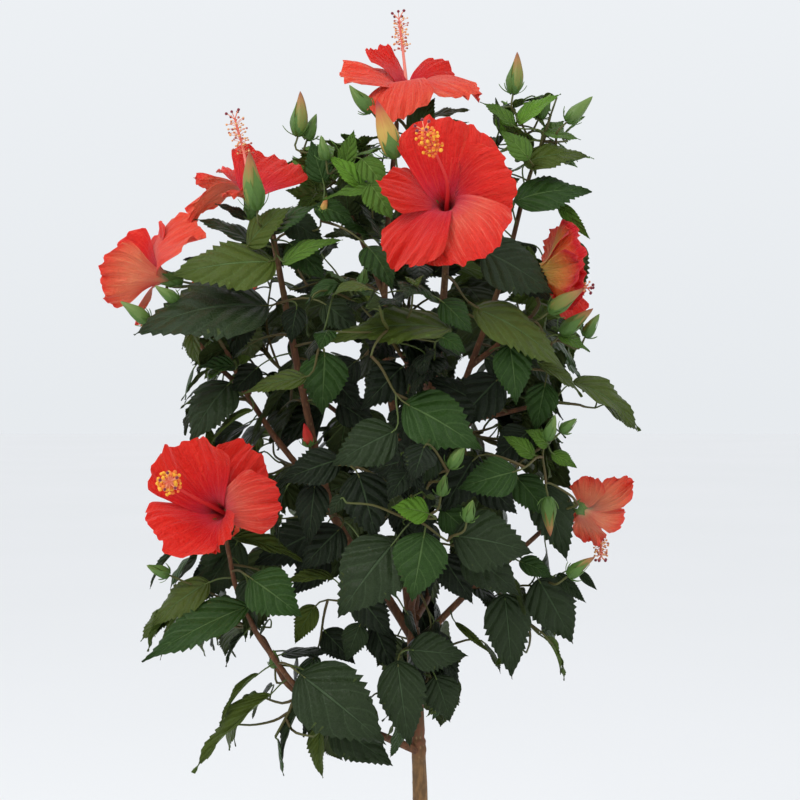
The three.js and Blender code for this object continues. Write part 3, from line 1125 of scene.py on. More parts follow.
def petal_lean(t, opened):
    """A petal's angle from the axis: a narrow funnel, then as far as it opens, and its end rolled back."""
    return FUNNEL + (opened - FUNNEL) * ramp(t, 0.1, 0.55) + ROLL * ramp(t, 0.55, 1.0)


def opening_for(wanted):
    """How far a petal opens so that its tip lies at an angle from the axis, and how far the tip is."""
    openings = np.radians(np.arange(-30, 215, 5))
    leans = petal_lean(np.linspace(0, 1, 60), openings[:, None])
    outs, rises = np.sin(leans).mean(1), np.cos(leans).mean(1)
    angles = np.unwrap(np.arctan2(outs, rises))
    opened = np.interp(wanted, angles, openings)
    return opened, np.hypot(np.interp(opened, openings, outs), np.interp(opened, openings, rises))


def petal(place, axis, tip, broad):
    """One petal to a tip: a narrow claw in the throat, then a broad ruffled blade."""
    waves = rng.uniform(0, 2 * math.pi, 6)
    radial = across(axis, tip - place)
    opened, share = opening_for(math.atan2((tip - place) @ radial, (tip - place) @ axis))
    length = np.linalg.norm(tip - place) / share

    def tilt(t):
        return petal_lean(t, opened)

    def half(t):
        return length * broad * (0.16 + 0.84 * ramp(t, 0.02, 0.8) - 0.05 * ramp(t, 0.85, 1))

    def height(t, s):
        grown = ramp(t, 0.35, 1)
        bend = 0.06 * np.sin(2.2 * s + waves[0] + 0.8 * t) + 0.035 * np.sin(5.5 * s + waves[1] + 1.5 * t)
        side = 0.06 * ramp(np.abs(s), 0.45, 1) * np.sin(7.5 * t + waves[2] + 2 * np.sign(s))
        rim = 0.034 * np.sin(9 * s + waves[3] + 2 * t) * ramp(t, 0.6, 1)
        crimp = 0.024 * np.sin(23 * s + waves[4] + 3 * t) * ramp(t, 0.4, 1)
        overlap = 0.1 * s * ramp(t, 0.15, 0.7)
        return length * (grown * (bend + side) + rim + crimp + overlap)

    middle = whorl_sheet(place, axis, radial, length, tilt, half, 0.32, height, PETAL_ROWS, PETAL_COLS)
    # The edge is cut a little unevenly.
    s = np.linspace(1, -1, PETAL_COLS)
    notch = 0.02 * np.sin(7 * s + waves[5]) + 0.015 * np.sin(16 * s + waves[0]) + 0.012 * np.sin(31 * s)
    along = np.gradient(middle, axis=0)[-1] * PETAL_ROWS * notch[:, None]
    reach = ramp(np.linspace(0, 1, PETAL_ROWS), 0.8, 1)[:, None, None]
    return middle + along[None] * reach


def add_ball(pile, centre, radius, axis, slot=0):
    """Adds a small ball with flat ends, as a short tube."""
    steps = np.array([-0.95, -0.5, 0.35, 0.95])
    path = centre + steps[:, None] * radius * unit(axis)
    add_tube(pile, path, radius * np.sqrt(1 - steps**2) + 0.05, 6, slot)


def add_column(path, first, kind):
    """The staminal column with stamens from a share of its length on, and the five stigmas at its tip."""
    reach = arc_lengths(path)[-1]
    shape = np.interp(np.linspace(0, 1, len(path)), [0, 0.15, 0.5, 0.95, 1], [2.6, 2.0, 1.5, 1.1, 0.8])
    add_tube(columns, path, shape, 10, kind)
    way = unit(np.gradient(path, axis=0))
    round_it = across(way[-1], UP + 0.3)
    axes = (way[-1], round_it, np.cross(way[-1], round_it))
    last = len(path) - 1
    for k in range(STAMENS):
        at = (first + (0.98 - first) * (k + rng.uniform(0, 0.6)) / STAMENS) * last
        i = int(at)
        root = path[i] + (path[min(i + 1, last)] - path[i]) * (at - i)
        side = across(way[i], aside(axes, k * TURN + rng.normal(0, 0.2)))
        length = reach * rng.uniform(0.05, 0.11)
        tip = root + side * length + way[i] * length * rng.uniform(0.1, 0.6)
        knee = (root + tip) / 2 + way[i] * length * 0.12
        add_tube(filaments, curve_through([root, knee, tip], 4), [0.34, 0.3, 0.26, 0.24], 4)
        radius = rng.uniform(1.3, 2.1) * (1 - 0.35 * kind)
        add_ball(anthers, tip, radius, np.cross(side, way[i]), int(rng.random() < 0.3) + 2 * kind)
    for k in range(5):
        side = aside(axes, k * 2 * math.pi / 5 + 0.4)
        tip = path[-1] + side * reach * 0.075 + way[-1] * reach * rng.uniform(0.05, 0.1)
        add_tube(filaments, curve_through([path[-1], (path[-1] + tip) / 2 + way[-1], tip], 4), [0.5] * 4, 4)
        add_ball(stigmas, tip, 1.6, side)


def add_green(start, axis, radial, length, tilt, half, rows, cols, dish=0.0):
    """A sepal or bract, dished across by a share of its length."""
    def height(t, s):
        return -length * dish * s**2 + 0 * t

    middle = whorl_sheet(start, axis, radial, length, tilt, half, 0.0, height, rows, cols)
    add_sheet(calyces, middle, GREEN_THICKNESS)


def add_sepals(place, axes, length, spread):
    """A calyx of five pointed lobes, joined into a cup at the base."""
    for k in range(5):
        lean = math.radians(rng.normal(spread, 3))

        def tilt(t):
            return math.radians(42) * (1 - ramp(t, 0, 0.35)) + lean * ramp(t, 0.3, 1)

        def half(t):
            return length * 0.3 * (0.75 + 0.4 * ramp(t, 0, 0.3)) * (1 - ramp(t, 0.25, 1.05)) + 0.25

        add_green(place, axes[0], aside(axes, k * 2 * math.pi / 5), length, tilt, half, 9, 7, 0.03)


def add_bracts(place, axes, length, spread, count=7):
    """The epicalyx: narrow strips that stand out under a calyx."""
    for k in range(count):
        lean = math.radians(rng.normal(spread, 9))

        def tilt(t):
            return lean + 0.3 - 0.6 * ramp(t, 0.2, 1)

        def half(t):
            return 0.95 * (1 - t) ** 0.6 + 0.2

        radial = aside(axes, (k + 0.3) * 2 * math.pi / count)
        add_green(place, axes[0], radial, length, tilt, half, 7, 3)


def bloom(place, facing, column, shape):
    """A flower from its foot, facing one way. Its column's bends and its petals' tips show from the eye."""
    tips = [shown(*row[:3]) for row in shape]
    size = size_of(place, shape)
    place = shown(*place)
    axes = axes_of(facing)
    for tip, (_, _, _, broad, tint, *turned_to) in zip(tips, shape):
        axis = unit(turned_to[0]) if turned_to else axes[0]
        upper, under = (RED, UNDER_GOLD) if tint == GOLD else (tint, UNDER)
        add_sheet(petals, petal(place, axis, tip, broad), PETAL_THICKNESS, upper, under)
    *bends, first, kind = column
    path = curve_through([place + axes[0] * 3] + [shown(*bend) for bend in bends], 24)
    add_column(path, first, kind)
    add_sepals(place - axes[0] * 7, axes, size * 0.34, 16)
    add_bracts(place - axes[0] * 8, axes, size * 0.15, 48)
    reach_for(place - axes[0] * 6, axes[0], 1.5)


def size_of(place, shape):
    """How far a flower's petals reach from its foot, on average."""
    return np.mean([np.linalg.norm(shown(*row[:3]) - shown(*place)) for row in shape])


BUD_ROWS, BUD_SIDES = 18, 20

# Kinds of bud: small and green, with its petals' tip showing, about to open, and a flower rolled up again.
# Each has how fat it is and how much of it the calyx hugs, both as shares of its length, and how far the
# calyx's tips lean off it.
SMALL, SHOWING, OPENING, ROLLED = range(4)
BUD_KINDS = ((0.2, 1.0, 0.1), (0.185, 0.8, 0.05), (0.19, 0.5, 0.22), (0.22, 0.35, 0.2))


def bud(place, facing, length, kind):
    """A bud on its stalk."""
    fat, hug, flare = BUD_KINDS[kind]
    axes = axes_of(facing)
    axis = axes[0]
    t = np.linspace(0, 1, BUD_ROWS)
    profile = length * fat * np.sin(math.pi * t**0.62) ** 0.75 * (1 - 0.25 * t) + 0.25
    turn = 2 * math.pi * np.arange(BUD_SIDES) / BUD_SIDES
    folds = 1 + 0.09 * np.cos(5 * turn[None] + 5 * t[:, None]) * ramp(t, 0.2, 0.5)[:, None]
    bend = across(axis, rng.normal(0, 1, 3)) * length * 0.04
    path = place + axis * (t * length)[:, None] + bend * (np.sin(math.pi * t))[:, None]
    add_tube(bud_tips, path, profile[:, None] * folds, BUD_SIDES, kind)

    def tilt(v):
        # A lobe follows the bud's swelling, and its tip stands off a little.
        slope = np.gradient(np.interp(v * hug, t, profile * 1.1), v * hug * length + 1e-6)
        return np.arctan(np.clip(slope, -0.5, 1.2)) + flare * ramp(v, 0.75, 1)

    def half(v):
        return np.interp(v * hug, t, profile) * 0.78 * (1 - ramp(v, 0.3, 1.02)) + 0.25

    for k in range(5):
        radial = aside(axes, k * 2 * math.pi / 5 + 0.5)
        add_green(place - axis * length * 0.01, axis, radial, length * hug, tilt, half, 10, 5)
    add_bracts(place, axes, length * 0.3 + 3, 38, 6)
    reach_for(place, axis, 1.15, 14.0)


# The colours of the petals' upper and under sides, as their materials are ordered. A GOLD petal is red
# above and gold below.
RED, FLUSHED, CORAL, UNDER, UNDER_GOLD, GOLD = range(6)

# The way that a petal opens which has turned its face to the front.
FORWARD = (0.0, -0.62, 0.78)

# A flower's stamens are fresh or spent.
FRESH, SPENT = 0, 1

# The flowers. Each has its foot's place, the way it faces, its column (its bends, where its stamens start
# as a share of its length, and their kind) and its petals: their tips, half width as a share of length,
# and colour. Places are x and z as they show, and depth.
BLOOMS = [
    # In front, below the top.
    ((26, 1018, -96), (-0.1, -0.93, 0.36), ((25, 1052, -136), (4, 1098, -164), 0.74, FRESH), [
        (32, 1106, -116, 0.58, RED), (-38, 1046, -128, 0.36, RED), (-24, 966, -146, 0.36, RED),
        (58, 974, -154, 0.54, FLUSHED), (88, 1052, -130, 0.54, RED),
    ]),
    # At the top, upright, with one petal hanging to the front.
    ((-13, 1124, 0), (0.02, -0.15, 1), ((-17, 1170, 0), (-22, 1210, 0), 0.62, SPENT), [
        (-49, 1182, 16, 0.22, RED, FORWARD), (-76, 1157, -10, 0.48, CORAL, FORWARD),
        (-26, 1110, -54, 0.42, CORAL), (50, 1130, -34, 0.38, CORAL), (30, 1154, 20, 0.32, RED, FORWARD),
    ]),
    # Upper left, upright.
    ((-170, 1018, -14), (0.05, 0.1, 1), ((-176, 1072, -10), (-186, 1110, -10), 0.6, SPENT), [
        (-142, 1074, 10, 0.56, RED, FORWARD), (-190, 1056, 32, 0.36, RED), (-222, 1046, 8, 0.18, RED),
        (-230, 1008, -12, 0.18, CORAL), (-192, 1034, -48, 0.3, CORAL),
    ]),
    # Far left, facing left.
    ((-246, 950, -8), (-0.93, -0.2, 0.2), ((-272, 950, -2), (-292, 938, 10), 0.7, SPENT), [
        (-306, 971, 14, 0.58, RED), (-264, 992, 26, 0.54, RED), (-224, 1002, -28, 0.52, CORAL),
        (-321, 957, -38, 0.48, CORAL), (-281, 908, 2, 0.44, RED),
    ]),
    # Lower left, facing left and to the front.
    ((-193, 716, -64), (-0.45, -0.86, 0.14),
     ((-226, 732, -104), (-250, 746, -126), (-252, 748, -152), 0.72, FRESH), [
        (-246, 782, -112, 0.48, RED), (-168, 778, -92, 0.36, RED), (-144, 732, -108, 0.37, FLUSHED),
        (-204, 686, -122, 0.42, RED), (-262, 694, -124, 0.56, RED),
    ]),
    # Right, half closed.
    ((104, 960, -8), (0.95, -0.12, -0.1), ((138, 950, -4), (166, 942, -10), 0.7, SPENT), [
        (160, 982, -46, 0.62, GOLD), (148, 992, 6, 0.6, GOLD), (128, 994, 28, 0.34, RED),
        (163, 946, -44, 0.5, GOLD), (160, 908, 0, 0.42, RED),
    ]),
    # Lower right, seen from behind.
    ((158, 722, 2), (0.45, 0.78, -0.3), ((178, 706, 34), (180, 674, 38), 0.72, SPENT), [
        (167, 750, 14, 0.46, CORAL), (208, 748, 28, 0.24, CORAL), (200, 716, 34, 0.4, RED),
        (172, 688, 30, 0.42, CORAL), (144, 712, 8, 0.4, CORAL),
    ]),
    # On the far side.
    ((28, 1018, 138), (0.15, 0.92, 0.34), ((30, 1046, 165), (40, 1070, 184), 0.7, FRESH), [
        (20, 1078, 158, 0.5, RED), (-26, 1034, 164, 0.48, RED), (0, 968, 172, 0.5, FLUSHED),
        (60, 970, 168, 0.5, RED), (82, 1036, 158, 0.48, RED),
    ]),
    ((-196, 938, 42), (-0.35, 0.9, 0.2), ((-202, 954, 68), (-210, 972, 86), 0.7, FRESH), [
        (-198, 968, 60, 0.44, RED), (-168, 948, 66, 0.44, RED), (-178, 912, 74, 0.44, RED),
        (-214, 910, 68, 0.44, FLUSHED), (-226, 944, 54, 0.42, RED),
    ]),
    ((-4, 772, 146), (-0.1, 0.94, 0.25), ((-6, 792, 174), (-14, 812, 196), 0.7, SPENT), [
        (-10, 820, 164, 0.48, CORAL), (34, 784, 168, 0.44, CORAL), (24, 734, 176, 0.46, CORAL),
        (-32, 732, 176, 0.48, CORAL), (-52, 782, 166, 0.46, RED),
    ]),
    ((-194, 728, 62), (-0.35, 0.9, 0.15), ((-202, 742, 88), (-212, 758, 104), 0.7, FRESH), [
        (-196, 764, 78, 0.44, RED), (-164, 740, 84, 0.44, RED), (-174, 698, 92, 0.44, RED),
        (-214, 698, 86, 0.44, FLUSHED), (-230, 736, 72, 0.44, RED),
    ]),
]

# The buds: x and z as they show from the eye, depth, facing, length and kind.
BUDS = [
    (-123, 1094, -30, (0.05, 0.0, 1), 44, SHOWING), (-114, 1090, -22, (0.35, 0.1, 1), 28, SMALL),
    (92, 1136, -8, (0.1, 0, 1), 42, SHOWING), (146, 1108, -5, (0.7, 0, 0.7), 36, SMALL),
    (118, 1112, 10, (0.4, 0.1, 0.8), 28, SMALL), (-25, 1072, -112, (-0.32, -0.15, 0.95), 56, OPENING),
    (-49, 1118, -40, (-0.6, -0.1, 0.7), 34, SMALL), (-164, 1020, -74, (-0.12, -0.2, 1), 56, SHOWING),
    (-272, 908, -40, (-0.75, -0.2, 0.55), 34, SMALL), (-243, 928, -60, (-0.7, -0.2, 0.5), 27, SMALL),
    (128, 918, -58, (0.75, -0.2, 0.5), 40, SHOWING), (140, 896, -30, (0.75, -0.1, 0.6), 40, SHOWING),
    (164, 893, -10, (0.5, 0, 0.8), 27, SMALL), (127, 733, -52, (0.05, -0.1, -1), 38, SHOWING),
    (147, 654, -40, (0.75, -0.1, 0.55), 32, SHOWING), (29, 762, -138, (0.5, -0.2, 0.8), 28, SMALL),
    (46, 710, -150, (0.2, -0.6, 0.8), 24, SMALL), (20, 735, -132, (0.2, -0.3, 1), 20, SMALL),
    (126, 790, -60, (0.3, -0.2, 1), 26, SMALL), (140, 798, -50, (0.7, -0.1, 0.6), 20, SMALL),
    (-252, 655, -60, (-0.8, -0.3, 0.4), 24, SMALL), (-146, 562, -40, (-0.1, 0, 1), 18, SMALL),
    (-95, 1070, -60, (-0.2, -0.2, 1), 24, SMALL), (-60, 946, -20, (0.3, -0.2, 1), 16, SMALL),
    (-100, 1014, -50, (0.3, -0.3, 1), 20, OPENING), (-112, 784, -20, (-0.2, -0.3, 1), 24, ROLLED),
]

# ---- Leaves that give the crown its outline and its front ----
FRONT, UPPER, EDGE = (0.0, -0.95, 0.35), (0.0, -0.55, 0.85), (-0.6, -0.35, 0.6)

# A stalk longer than this is a twig with bark.
LONGEST_PETIOLE = 45.0

# Each leaf's base and tip as they show from the eye, depths of both, face, width, fold and shade.
# The dark shade on the leaves in the crown's middle is partly their own colour and partly painted shade.
PLACED = [
    (-151, 968, -252, 954, -70, -95, (0, -0.7, 0.7), 0.36, 0.15, "olive"),
    (-159, 924, -287, 895, -60, -80, (0, -0.65, 0.75), 0.4, 0.25, "deep"),
    (-170, 988, -228, 1011, -20, -20, (0, -0.4, 0.9), 0.3, 0.3, "deep"),
    (-172, 986, -128, 1024, -60, -70, (0, -0.7, 0.7), 0.36, 0.2, "olive"),
    (-193, 845, -231, 786, -20, -30, (-0.4, -0.9, 0.2), 0.38, 0.2, "deep"),
    (-171, 818, -211, 784, -30, -30, EDGE, 0.2, 0.9, "olive"),
    (-245, 679, -271, 641, -30, -30, EDGE, 0.2, 0.9, "deep"),
    (-215, 646, -270, 604, -60, -60, UPPER, 0.36, 0.2, "olive"),
    (-177, 622, -279, 568, -80, -95, (0.1, -0.6, 0.8), 0.24, 0.45, "mid"),
    (-169, 651, -119, 613, -105, -115, FRONT, 0.42, 0.15, "mid"),
    (-177, 596, -195, 563, -60, -60, EDGE, 0.22, 0.8, "deep"),
    (-165, 554, -201, 504, -60, -60, EDGE, 0.14, 1.0, "olive"),
    (-154, 532, -228, 457, -60, -60, (-0.3, -0.5, 0.8), 0.19, 0.9, "olive"),
    (-121, 522, -140, 464, -50, -50, (-0.9, -0.4, 0), 0.22, 0.8, "deep"),
    (-99, 502, -98, 452, -40, -40, (-0.7, -0.7, 0), 0.3, 0.7, "olive"),
    (-117, 553, -35, 485, -105, -112, FRONT, 0.36, 0.1, "deep"),
    (-86, 505, -28, 464, -70, -85, FRONT, 0.34, 0.2, "deep"),
    (-23, 565, -11, 482, -85, -92, (-0.1, -1, 0.1), 0.3, 0.15, "deep"),
    (15, 552, 29, 508, -70, -70, (0.3, -1, 0), 0.44, 0.2, "deep"),
    (-9, 580, 47, 574, -92, -92, (0, -1, 0.2), 0.36, 0.1, "deep"),
    (-61, 605, -75, 568, -60, -60, (-0.3, -0.9, 0), 0.36, 0.2, "deep"),
    (-137, 576, -83, 577, -50, -50, (0, -0.2, 1), 0.3, 0.2, "dark"),
    (-107, 623, -126, 586, -40, -40, (-0.5, -0.8, 0), 0.34, 0.3, "olive"),
    (84, 632, 91, 551, -40, -40, (0.1, -1, 0), 0.3, 0.2, "deep"),
    (119, 648, 152, 586, -20, -20, (0.2, -0.95, 0.2), 0.38, 0.15, "deep"),
    (36, 606, 69, 577, -40, -40, EDGE, 0.14, 1.0, "olive"),
    (36, 694, 112, 677, -115, -112, FRONT, 0.42, 0.1, "deep"),
    (46, 678, 99, 634, -80, -80, FRONT, 0.36, 0.2, "deep"),
    (3, 694, -9, 628, -140, -140, (-0.05, -1, 0.2), 0.43, 0.2, "mid"),
    (-29, 685, -83, 612, -120, -120, (-0.1, -0.95, 0.3), 0.4, 0.15, "deep"),
    (93, 758, 36, 741, -112, -120, FRONT, 0.36, 0.15, "mid"),
    (107, 798, 73, 768, -60, -60, FRONT, 0.45, 0.2, "dark"),
    (123, 742, 146, 669, -20, -20, (0.1, -1, 0.1), 0.3, 0.2, "deep"),
    (138, 655, 165, 627, -20, -20, EDGE, 0.22, 0.7, "deep"),
    (159, 658, 176, 640, -10, -10, EDGE, 0.22, 0.6, "deep"),
    (6, 717, -30, 723, -145, -150, (0, -0.9, 0.5), 0.42, 0.25, "young"),
    (-13, 825, 61, 780, -135, -140, (0.1, -0.9, 0.4), 0.38, 0.2, "mid"),
    (25, 902, -93, 888, -125, -125, UPPER, 0.29, 0.3, "olive"),
    (-28, 798, -90, 764, -140, -140, FRONT, 0.37, 0.15, "deep"),
    (-96, 875, -99, 815, -60, -60, (0, -1, 0.1), 0.42, 0.2, "mid"),
    (-118, 852, -180, 835, -85, -85, UPPER, 0.3, 0.25, "olive"),
    (-136, 968, -78, 990, -70, -70, UPPER, 0.3, 0.3, "fresh"),
    (59, 920, 146, 858, -90, -85, UPPER, 0.34, 0.2, "olive"),
    (66, 978, 132, 936, -70, -60, (0.1, -0.8, 0.6), 0.44, 0.15, "deep"),
    (106, 1068, 169, 1073, -10, -10, (0, -0.7, 0.7), 0.34, 0.25, "olive"),
    (97, 1030, 171, 1038, -20, -15, (0, -0.7, 0.7), 0.38, 0.2, "mid"),
    (139, 1025, 169, 991, -10, -10, EDGE, 0.2, 0.7, "fresh"),
    (99, 1108, 140, 1136, -5, -5, (-0.3, -0.6, 0.6), 0.3, 0.5, "young"),
    (124, 1097, 160, 1090, 0, 0, UPPER, 0.32, 0.3, "fresh"),
    (107, 1072, 79, 1100, -40, -40, (0.2, -0.8, 0.5), 0.4, 0.3, "fresh"),
    (91, 1105, 59, 1128, -15, -15, (0.2, -0.6, 0.6), 0.3, 0.5, "fresh"),
    (89, 883, 95, 825, -95, -95, (0.2, -1, 0.1), 0.36, 0.2, "mid"),
    (120, 865, 161, 833, -55, -50, UPPER, 0.25, 0.4, "olive"),
    (156, 847, 219, 799, -20, -15, (0.1, -0.5, 0.85), 0.3, 0.45, "olive"),
    (124, 845, 114, 798, -50, -50, FRONT, 0.36, 0.2, "mid"),
    (139, 895, 169, 878, -30, -30, UPPER, 0.36, 0.2, "fresh"),
    (8, 1112, 49, 1120, -8, -8, (0, -0.4, 0.9), 0.3, 0.3, "olive"),
    (-77, 1064, -67, 1100, -50, -48, (0.2, -1, 0.3), 0.28, 0.5, "fresh"),
    (-60, 1044, -93, 1074, -60, -60, (0.1, -0.8, 0.5), 0.3, 0.5, "young"),
    (-58, 1070, -34, 1036, -62, -70, (0.2, -1, 0.3), 0.34, 0.3, "fresh"),
    (-98, 1050, -110, 1090, -45, -40, (-0.3, -0.9, 0.3), 0.34, 0.3, "mid"),
    (-40, 1040, -98, 1030, -64, -72, UPPER, 0.28, 0.3, "fresh"),
    (-50, 1045, -28, 1010, -90, -95, FRONT, 0.4, 0.2, "fresh"),
    (-52, 982, -28, 940, -70, -84, UPPER, 0.38, 0.2, "mid"),
    (22, 928, 52, 896, -120, -125, (0, -0.8, 0.5), 0.38, 0.25, "mid"),
    (-150, 1000, -104, 1024, -60, -64, UPPER, 0.38, 0.2, "mid"),
    (-134, 1012, -96, 984, -40, -44, (0.1, -0.9, 0.5), 0.38, 0.2, "deep"),
    (-104, 1024, -66, 1006, -50, -54, (0.1, -0.8, 0.6), 0.36, 0.2, "mid"),
    (92, 966, 132, 926, -30, -34, (0.2, -0.9, 0.4), 0.38, 0.2, "dark"),
    (-6, 1096, 14, 1132, -20, -24, (0, -0.9, 0.4), 0.36, 0.2, "mid"),
    (6, 1092, 48, 1108, -24, -28, (0, -0.8, 0.6), 0.34, 0.2, "olive"),
    (100, 668, 132, 652, -24, -22, (0.1, -0.8, 0.6), 0.34, 0.3, "mid"),
    (112, 775, 82, 794, -70, -76, (0, -0.8, 0.6), 0.3, 0.3, "fresh"),
    (-88, 852, -60, 818, -40, -44, (0.1, -1, 0.3), 0.4, 0.2, "dark"),
    (-80, 826, -44, 800, -30, -34, (0.1, -1, 0.3), 0.4, 0.2, "dark"),
    (126, 786, 104, 800, -62, -70, (0, -0.8, 0.6), 0.4, 0.3, "fresh"),
    (132, 776, 156, 762, -54, -56, (0.2, -0.8, 0.6), 0.36, 0.3, "fresh"),
    (-176, 1012, -206, 1026, -30, -30, (0, -0.5, 0.9), 0.32, 0.2, "dark"),
    (-196, 966, -238, 970, 6, 12, (0, -0.5, 0.9), 0.3, 0.3, "dark"),
    (-130, 986, -96, 950, -54, -60, (0.1, -0.8, 0.5), 0.4, 0.2, "mid"),
    (-178, 915, -188, 872, -36, -40, (-0.1, -1, 0.3), 0.4, 0.2, "dark"),
    (-124, 922, -130, 886, -60, -66, (-0.1, -1, 0.4), 0.38, 0.2, "dark"),
    (-96, 926, -62, 896, -60, -66, (0.1, -1, 0.4), 0.38, 0.2, "deep"),
    (-66, 868, -98, 838, -30, -36, (-0.1, -1, 0.3), 0.4, 0.2, "dark"),
    (-164, 862, -190, 836, -20, -26, (-0.1, -1, 0.3), 0.4, 0.2, "dark"),
    (22, 672, 52, 626, -70, -74, (0.1, -1, 0.2), 0.34, 0.2, "dark"),
    (-62, 634, -30, 592, -60, -64, (0.1, -1, 0.2), 0.36, 0.2, "dark"),
    (-46, 602, -28, 558, -50, -54, (0.1, -1, 0.2), 0.34, 0.2, "dark"),
    (-96, 598, -66, 566, -30, -34, (0, -1, 0.3), 0.36, 0.2, "dark"),
    (-90, 652, -142, 645, -56, -60, (0, -0.5, 0.9), 0.22, 0.6, "olive"),
    (-96, 672, -130, 634, -40, -44, (-0.2, -1, 0.3), 0.36, 0.2, "dark"),
    (96, 752, 128, 712, -30, -34, (0.1, -1, 0.3), 0.36, 0.2, "mid"),
    (60, 748, 96, 716, -60, -64, (0.1, -1, 0.3), 0.38, 0.2, "dark"),
    (-106, 744, -112, 684, -70, -78, (-0.2, -1, 0.1), 0.3, 0.25, "dark"),
    (-62, 754, -44, 688, -105, -112, (0.1, -1, 0.1), 0.38, 0.2, "dark"),
    (-82, 700, -120, 660, -60, -66, (-0.2, -1, 0.2), 0.4, 0.2, "dark"),
    (-136, 740, -141, 683, -60, -60, (-0.9, -0.4, 0), 0.2, 0.7, "deep"),
    (-84, 770, -142, 748, -80, -84, (-0.1, -0.9, 0.4), 0.34, 0.2, "dark"),
    (-142, 711, -182, 698, -50, -56, (0, -0.5, 0.9), 0.2, 0.7, "olive"),
    (-184, 692, -118, 668, -60, -50, (0, -0.6, 0.8), 0.2, 0.6, "olive"),
    (-100, 700, -168, 664, -20, -24, (0, -0.8, 0.5), 0.36, 0.2, "dark"),
    (64, 822, 4, 852, -60, -66, (0, -0.9, 0.5), 0.3, 0.3, "dark"),
    (-60, 690, -24, 640, -70, -76, (0.1, -1, 0.1), 0.4, 0.2, "dark"),
    (22, 720, 54, 690, -96, -100, (0.1, -1, 0.4), 0.4, 0.2, "mid"),
    (76, 850, 30, 800, -60, -66, (0, -1, 0.2), 0.36, 0.2, "dark"),
    (-20, 862, -60, 820, -70, -76, (0, -1, 0.2), 0.38, 0.2, "dark"),
    (52, 770, 20, 716, -90, -96, (0, -1, 0.2), 0.38, 0.2, "dark"),
]


def mark_flowers():
    """Notes the room that each flower opens into, and keeps what is before those in front clear."""
    for (x, z, y), facing, _, shape in BLOOMS:
        in_front = y < FAR_SIDE
        flowers.append((shown(x, z, y), unit(facing), size_of((x, z, y), shape), in_front))
        # Each petal has a disc on its outer part.
        for tip_x, tip_z, tip_y, *_ in shape if in_front else []:
            discs.append((x + (tip_x - x) * 0.75, z + (tip_z - z) * 0.75, 19, tip_y + 10))
    for x, z, y, facing, length, _ in BUDS:
        discs.append((x, z + unit(facing)[2] * length / 2, length * 0.4, y))


def place_leaves():
    """Makes the leaves that have a place first and keeps what is before them clear."""
    for x, z, x2, z2, y, y2, face, width, fold, shade in PLACED:
        leaf = make_leaf(
            shown(x, z, y), shown(x2, z2, y2), face, shade, width, rng.uniform(0.35, 0.8), fold,
            rng.uniform(0.012, 0.028), rng.normal(0, 0.15),
        )
        take(leaf)
        loose.append(leaf)
        shield(leaf)


def stalk_leaves():
    """Stalks for the loose leaves, from the nearest shoot or bough."""
    ends = wood(2)
    for leaf in loose:
        base, into = leaf["base"], arrival(leaf)
        ahead = unit(leaf["tip"] - base)
        behind = np.maximum((ends - base) @ ahead + 8, 0)
        start = ends[int(np.argmin(np.linalg.norm(ends - base + into * 12, axis=1) + 1.5 * behind))]
        gap = np.linalg.norm(base - start)
        leave = start + unit(base - start + UP * gap * 0.3) * gap * 0.4
        path = arched(start, leave, base - into * min(gap * 0.35, 22), base + into * 2, max(7, int(gap / 7)))
        if gap > LONGEST_PETIOLE:
            shoots.append((path, np.linspace(1.4, 0.75, len(path))))
            borne.append(path[-1])
            ends = np.concatenate([ends, path[1:-2]])
        else:
            petioles.append(path)


def trim_shoots():
    """Cuts the shoots' ends off beyond the last leaf, twig or flower that they bear."""
    for _ in range(3):
        bearing = nearest_in(borne + [path[0] for path in petioles] + [path[0] for path, _ in shoots])
        kept = []
        for path, radii in shoots:
            last = max(i for i, place in enumerate(path) if bearing.find(place)[2] < 0.5)
            if last:
                kept.append((path[:last + 1], radii[:last + 1]))
        shoots[:] = kept


# ---- Filling in ----
CELL = 9.0
COLUMNS = np.arange(-340.0, 260.0, CELL)
LEVELS = np.arange(440.0, 1210.0, CELL)
MOST_LEAVES = 850
LEAST_SPACING = 12.0
LONGEST_STALK = 38.0

# Only leaves nearer to the eye than this depth count as closing the crown.
BACK = 60.0


def stretches(eye, way):
    """Where a ray lies inside the masses: its distances from the eye on entering and leaving each."""
    found, at, entered = [], 0.0, None
    while True:
        spot, normal, _, distance = greenery.ray_cast(Vector(eye + way * at), Vector(way))
        if spot is None:
            return found
        at += distance + 0.01
        if normal.dot(Vector(way)) < 0:
            entered = at
        elif entered is not None:
            found.append((entered, at))
            entered = None


def cells_of(points):
    """The columns and levels of the cells in which points show."""
    seen = seen_at(points)
    column = np.round((seen[..., 0] - COLUMNS[0]) / CELL).astype(int).clip(0, len(COLUMNS) - 1)
    level = np.round((seen[..., 1] - LEVELS[0]) / CELL).astype(int).clip(0, len(LEVELS) - 1)
    return column, level


def leaf_across(middle, towards, size):
    """A leaf about a place, hanging outwards with its face to the light, if there is room."""
    if np.linalg.norm(np.array(centres) - middle, axis=1).min() < LEAST_SPACING:
        return None
    length = size * rng.uniform(0.75, 1.05) * float(np.interp(middle[2], [550, 900, 1100], [88, 80, 62]))
    flat = unit(outwards(middle) * [1, 1, 0.3] + rng.normal(0, 0.5, 3))
    half = unit(flat - UP * (droop_for(middle[2]) + rng.normal(0.1, 0.3))) * length / 2
    face = towards * rng.uniform(0.3, 1.0) + outwards(middle) * 0.5 + UP * 0.4 + rng.normal(0, 0.25, 3)
    return random_leaf(middle - half, middle + half, face, shade_for(middle, -0.3), 0.29, 0.38)


